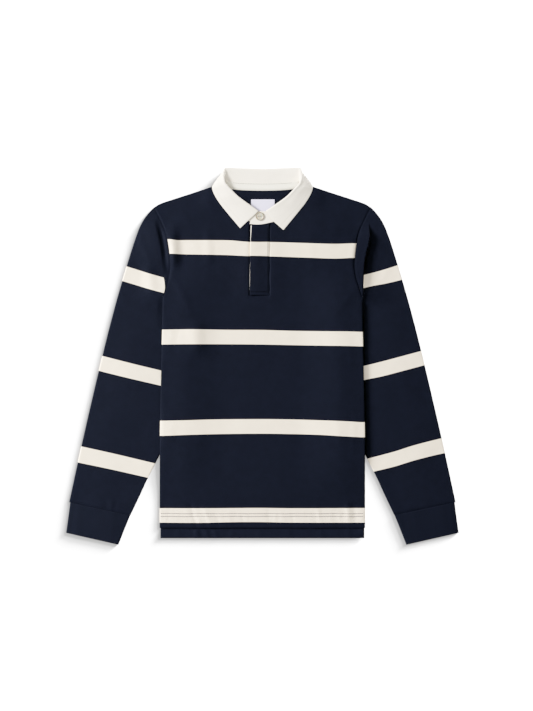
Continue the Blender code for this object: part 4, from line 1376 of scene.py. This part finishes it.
for side in (-1, 1):
    cutter = bpy.data.objects.new("hole_drill", hole_drill(side))
    bpy.context.scene.collection.objects.link(cutter)
    cutter.matrix_world = button.matrix_basis
    drill = button.modifiers.new("Thread hole", "BOOLEAN")
    drill.operation = "DIFFERENCE"
    drill.solver = "EXACT"
    drill.object = cutter
bpy.context.view_layer.update()
whole = bpy.data.meshes.new_from_object(button.evaluated_get(bpy.context.evaluated_depsgraph_get()))
button.modifiers.clear()
button.data = whole
for item in [item for item in bpy.data.objects if item.name.startswith("hole_drill")]:
    bpy.data.objects.remove(item)
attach(button, "root")
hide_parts("collar_button")
print("button faces:", len(whole.polygons))

# %% [markdown]
# ## Sewing
# A lock stitch shows as a row of short dashes, each sunk a little at its ends. Each dash is a
# small spindle of thread, and a whole row is one mesh. The rows follow the cloth that they hold.

# %% Stitch helper
STITCH_SIDES = 6
STITCH_RING = ((0.0, 0.45), (0.14, 0.9), (0.5, 1.0), (0.86, 0.9), (1.0, 0.45))


def sew(name, paths, height, length, gap, radius, thread, sink=0.35):
    """Rows of stitches along paths in mm: of (x, y) lying on a height, or of (x, y, z) without one."""
    row = bmesh.new()
    count = 0
    for path in paths:
        runs = [0.0]
        for before, after in zip(path, path[1:]):
            runs.append(runs[-1] + math.dist(before, after))

        def at(distance):
            i = min(max(bisect_right(runs, distance) - 1, 0), len(path) - 2)
            part = (distance - runs[i]) / (runs[i + 1] - runs[i])
            spot = [mix(a, b, part) for a, b in zip(path[i], path[i + 1])]
            return Vector((*spot, height(*spot))) if height else Vector(spot)

        distance = 0.0
        while distance + length <= runs[-1]:
            start, end = at(distance), at(distance + length)
            run = (end - start).normalized()
            side = run.cross(UP).normalized()
            up = side.cross(run).normalized()
            rings = []
            for part, size in STITCH_RING:
                centre = start.lerp(end, part) + up * radius * (size - 1.0 + (1.0 - sink))
                points = []
                for k in range(STITCH_SIDES):
                    turn = math.tau * k / STITCH_SIDES
                    offset = side * math.cos(turn) + up * math.sin(turn) * 0.8
                    points.append(row.verts.new((centre + offset * radius * size) * MM))
                rings.append(points)
            for a, b in zip(rings, rings[1:]):
                for k in range(STITCH_SIDES):
                    m = (k + 1) % STITCH_SIDES
                    row.faces.new((a[k], a[m], b[m], b[k]))
            row.faces.new(rings[0][::-1])
            row.faces.new(rings[-1])
            distance += length + gap
            count += 1
    piece = finished(name, row, thread)
    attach(piece, "root")
    print(name, "stitches:", count)
    return piece


def body_line(y, inset, wave=0.25, step=4.0):
    """Path across the body at a height, with a slight wander."""
    half = half_width(y) - inset
    count = int(2 * half / step)
    return [(mix(-half, half, i / count), y + wave * math.sin(i * 0.37 + y)) for i in range(count + 1)]


def on_front(x, y):
    """Upper face of the front."""
    return front_surface(x, y) + JERSEY / 2


def on_placket(x, y):
    """Upper face of the buttonhole band."""
    return placket_surface(x, y) + JERSEY / 2


hem_sewing = sew(
    "hem_sewing", [body_line(HEM_TOP_Y, 2.0), body_line(HEM_LOW_Y, 2.0)], on_front, 3.6, 0.3, 0.52,
    lilac_thread, sink=0.3,
)
# The placket's thread is partly navy thread, partly painted shade: near-black and thick, it draws the shade
# of its grooves.
placket_sewing = sew(
    "placket_sewing",
    [
        [(EDGE_SEWN_X, 131.0), (EDGE_SEWN_X, 268.0)],
        [(-25.2, FOOT_SEWN_Y[0]), (9.6, FOOT_SEWN_Y[0])],
        [(9.6, FOOT_SEWN_Y[1]), (-25.2, FOOT_SEWN_Y[1])],
    ],
    on_placket, 2.8, 0.3, 0.42, navy_thread_and_groove_shade,
)


def collar_row(grid, column, wall, rows):
    """Path along one column of a collar piece, on its upper face."""
    return [(x, y, z + wall * 0.56) for x, y, z, *cloth in (grid[i][column] for i in rows)]


LEAF_SEWING = -4              # column of the fall's points that the edge sewing follows
leaf_rows = [i for i, row in enumerate(fall_rows) if row.tilt < 12.0]
half_way = len(fall_rows) // 2
collar_sewing = sew(
    "collar_sewing",
    [
        collar_row(fall_grid, LEAF_SEWING, TWILL, [i for i in leaf_rows if i < half_way]),
        collar_row(fall_grid, LEAF_SEWING, TWILL, [i for i in leaf_rows if i > half_way]),
    ],
    None, 2.4, 0.7, 0.24, ecru_thread,
)
tape_sewing = sew(
    "tape_sewing", [collar_row(tape_grid, -2, TAPE, range(4, len(tape_grid) - 4))], None,
    3.0, 0.4, 0.3, grey_thread_and_painted_hole_shade,
)


def on_button(x, y):
    """Point on the button's face, in mm."""
    return tuple(button.matrix_basis @ (Vector((x, y, 1.8)) * MM) / MM)


# The button's thread is grey-brown: painted shade of its two holes.
button_thread = sew(
    "button_thread",
    [[on_button(side * HOLE_OFFSET, -1.2), on_button(side * HOLE_OFFSET, 1.2)] for side in (-1, 1)],
    None, 2.3, 0.4, 0.6, grey_thread_and_painted_hole_shade,
)
print("sewn rows:", 10)

# %% [markdown]
# ## Sheets of cloth
# The thirteen pieces of cloth above are each one sheet, made through rows of points.

# %% Cloth facts
print("sheets declared:", 13)

# %% [markdown]
# ## Table and light
# The table is white card over a light box, which keeps it bright. One low soft light from the left
# shapes the jersey, and a higher one the collar, which stands up more. Both shine on the shirt alone.
# The card has two lights of its own from the upper right, a low and a higher one, so that the shirt's
# shadow falls to the left and below and fades out softly, as in a catalogue picture.

# %% Table
def white_card():
    """Matt white card with a faint tooth."""
    surface, tree, shader = blank_material("lit_white_card", 0.9, gloss=0.1)
    shader.inputs["Base Color"].default_value = paint("#bcbcbc")
    shader.inputs["Emission Color"].default_value = paint("#ffffff")
    shader.inputs["Emission Strength"].default_value = 0.12
    place = node(tree, "ShaderNodeTexCoord").outputs["Object"]
    relief(tree, shader, speckle(tree, place, 900.0, 2.0), 0.05, 0.1)
    return surface


TABLE_SIZE = 6.0              # m
table_mesh = bpy.data.meshes.new("table")
half = TABLE_SIZE / 2
table_mesh.from_pydata(
    [(-half, -half, 0), (half, -half, 0), (half, half, 0), (-half, half, 0)], [], [(0, 1, 2, 3)],
)
table = add_object("table", table_mesh, white_card())
table.location = (0.0, 0.0, -0.0002)
print("table side in m:", TABLE_SIZE)

# %% Lights
ROOM = 0.36                   # strength of the light from all round
world = bpy.data.worlds.new("studio")
bpy.context.scene.world = world
world.use_nodes = True
room = world.node_tree.nodes["Background"]
room.inputs["Color"].default_value = (1.0, 1.0, 1.0, 1.0)
room.inputs["Strength"].default_value = ROOM

shirt_only = bpy.data.collections.new("lit_by_the_shirt_light")
collar_only = bpy.data.collections.new("lit_by_the_collar_light")
for item in bpy.context.scene.objects:
    if item in (fall, stand, tape, label, button, collar_sewing, tape_sewing, button_thread):
        collar_only.objects.link(item)
    elif item.type == "MESH" and item != table and "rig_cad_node" not in item:
        shirt_only.objects.link(item)
table_only = bpy.data.collections.new("lit_by_the_table_light")
table_only.objects.link(table)


def aimed(data, strength, source, receivers):
    """A light that shines from the source towards the middle of the shirt, and on its receivers only."""
    data.energy = strength
    light = bpy.data.objects.new(data.name, data)
    bpy.context.scene.collection.objects.link(light)
    light.rotation_euler = Vector(source).to_track_quat("Z", "Y").to_euler()
    light.light_linking.receiver_collection = receivers
    return light


def sun(name, strength, azimuth, elevation, width, receivers):
    """A distant light: azimuth anticlockwise from +x, elevation above the table and width in degrees."""
    data = bpy.data.lights.new(name, "SUN")
    data.angle = math.radians(width)
    around, up = math.radians(azimuth), math.radians(elevation)
    source = (math.cos(around) * math.cos(up), math.sin(around) * math.cos(up), math.sin(up))
    aimed(data, strength, source, receivers)


def area(name, watts, place, size, receivers):
    """A square soft box, its place and its side in m."""
    data = bpy.data.lights.new(name, "AREA")
    data.size = size
    light = aimed(data, watts, place, receivers)
    light.location = place
    return light


low_key = area("low_key", 300.0, (-4.6, 1.2, 1.46), 1.3, shirt_only)
low_key.light_linking.blocker_collection = shirt_only
area("collar_key", 160.0, (-3.6, 1.5, 3.05), 1.2, collar_only)
sun("table_light_low", 27.0, 40.0, 6.8, 13.0, table_only)
sun("table_light_high", 6.2, 40.0, 18.0, 23.0, table_only)
print("lights:", 4)

# %% [markdown]
# ## Print of the picture
# A catalogue picture is printed with more contrast in the darks and less in the lights. The tone curve
# does that: its black level takes a little flare out of the navy, and its shoulder rolls off the whites.

# %% Tone curve
SHOULDER_BEND = 0.5           # the smaller, the sooner the whites roll off
BLACK_LEVEL = (0.0020, 0.0025, 0.0049)   # flare taken out of red, green and blue


def shoulder(light):
    """Printed brightness of a linear brightness, steep in the darks and gentle in the lights."""
    return (1.0 + SHOULDER_BEND) * light / (light + SHOULDER_BEND)


view = bpy.context.scene.view_settings
view.view_transform = "Standard"
view.use_curve_mapping = True
view.curve_mapping.black_level = BLACK_LEVEL
tones = view.curve_mapping.curves[3]
for light in (0.02, 0.05, 0.10, 0.18, 0.30, 0.45, 0.70):
    tones.points.new(light, shoulder(light))
view.curve_mapping.update()
print("half light prints at", round(shoulder(0.5), 2))
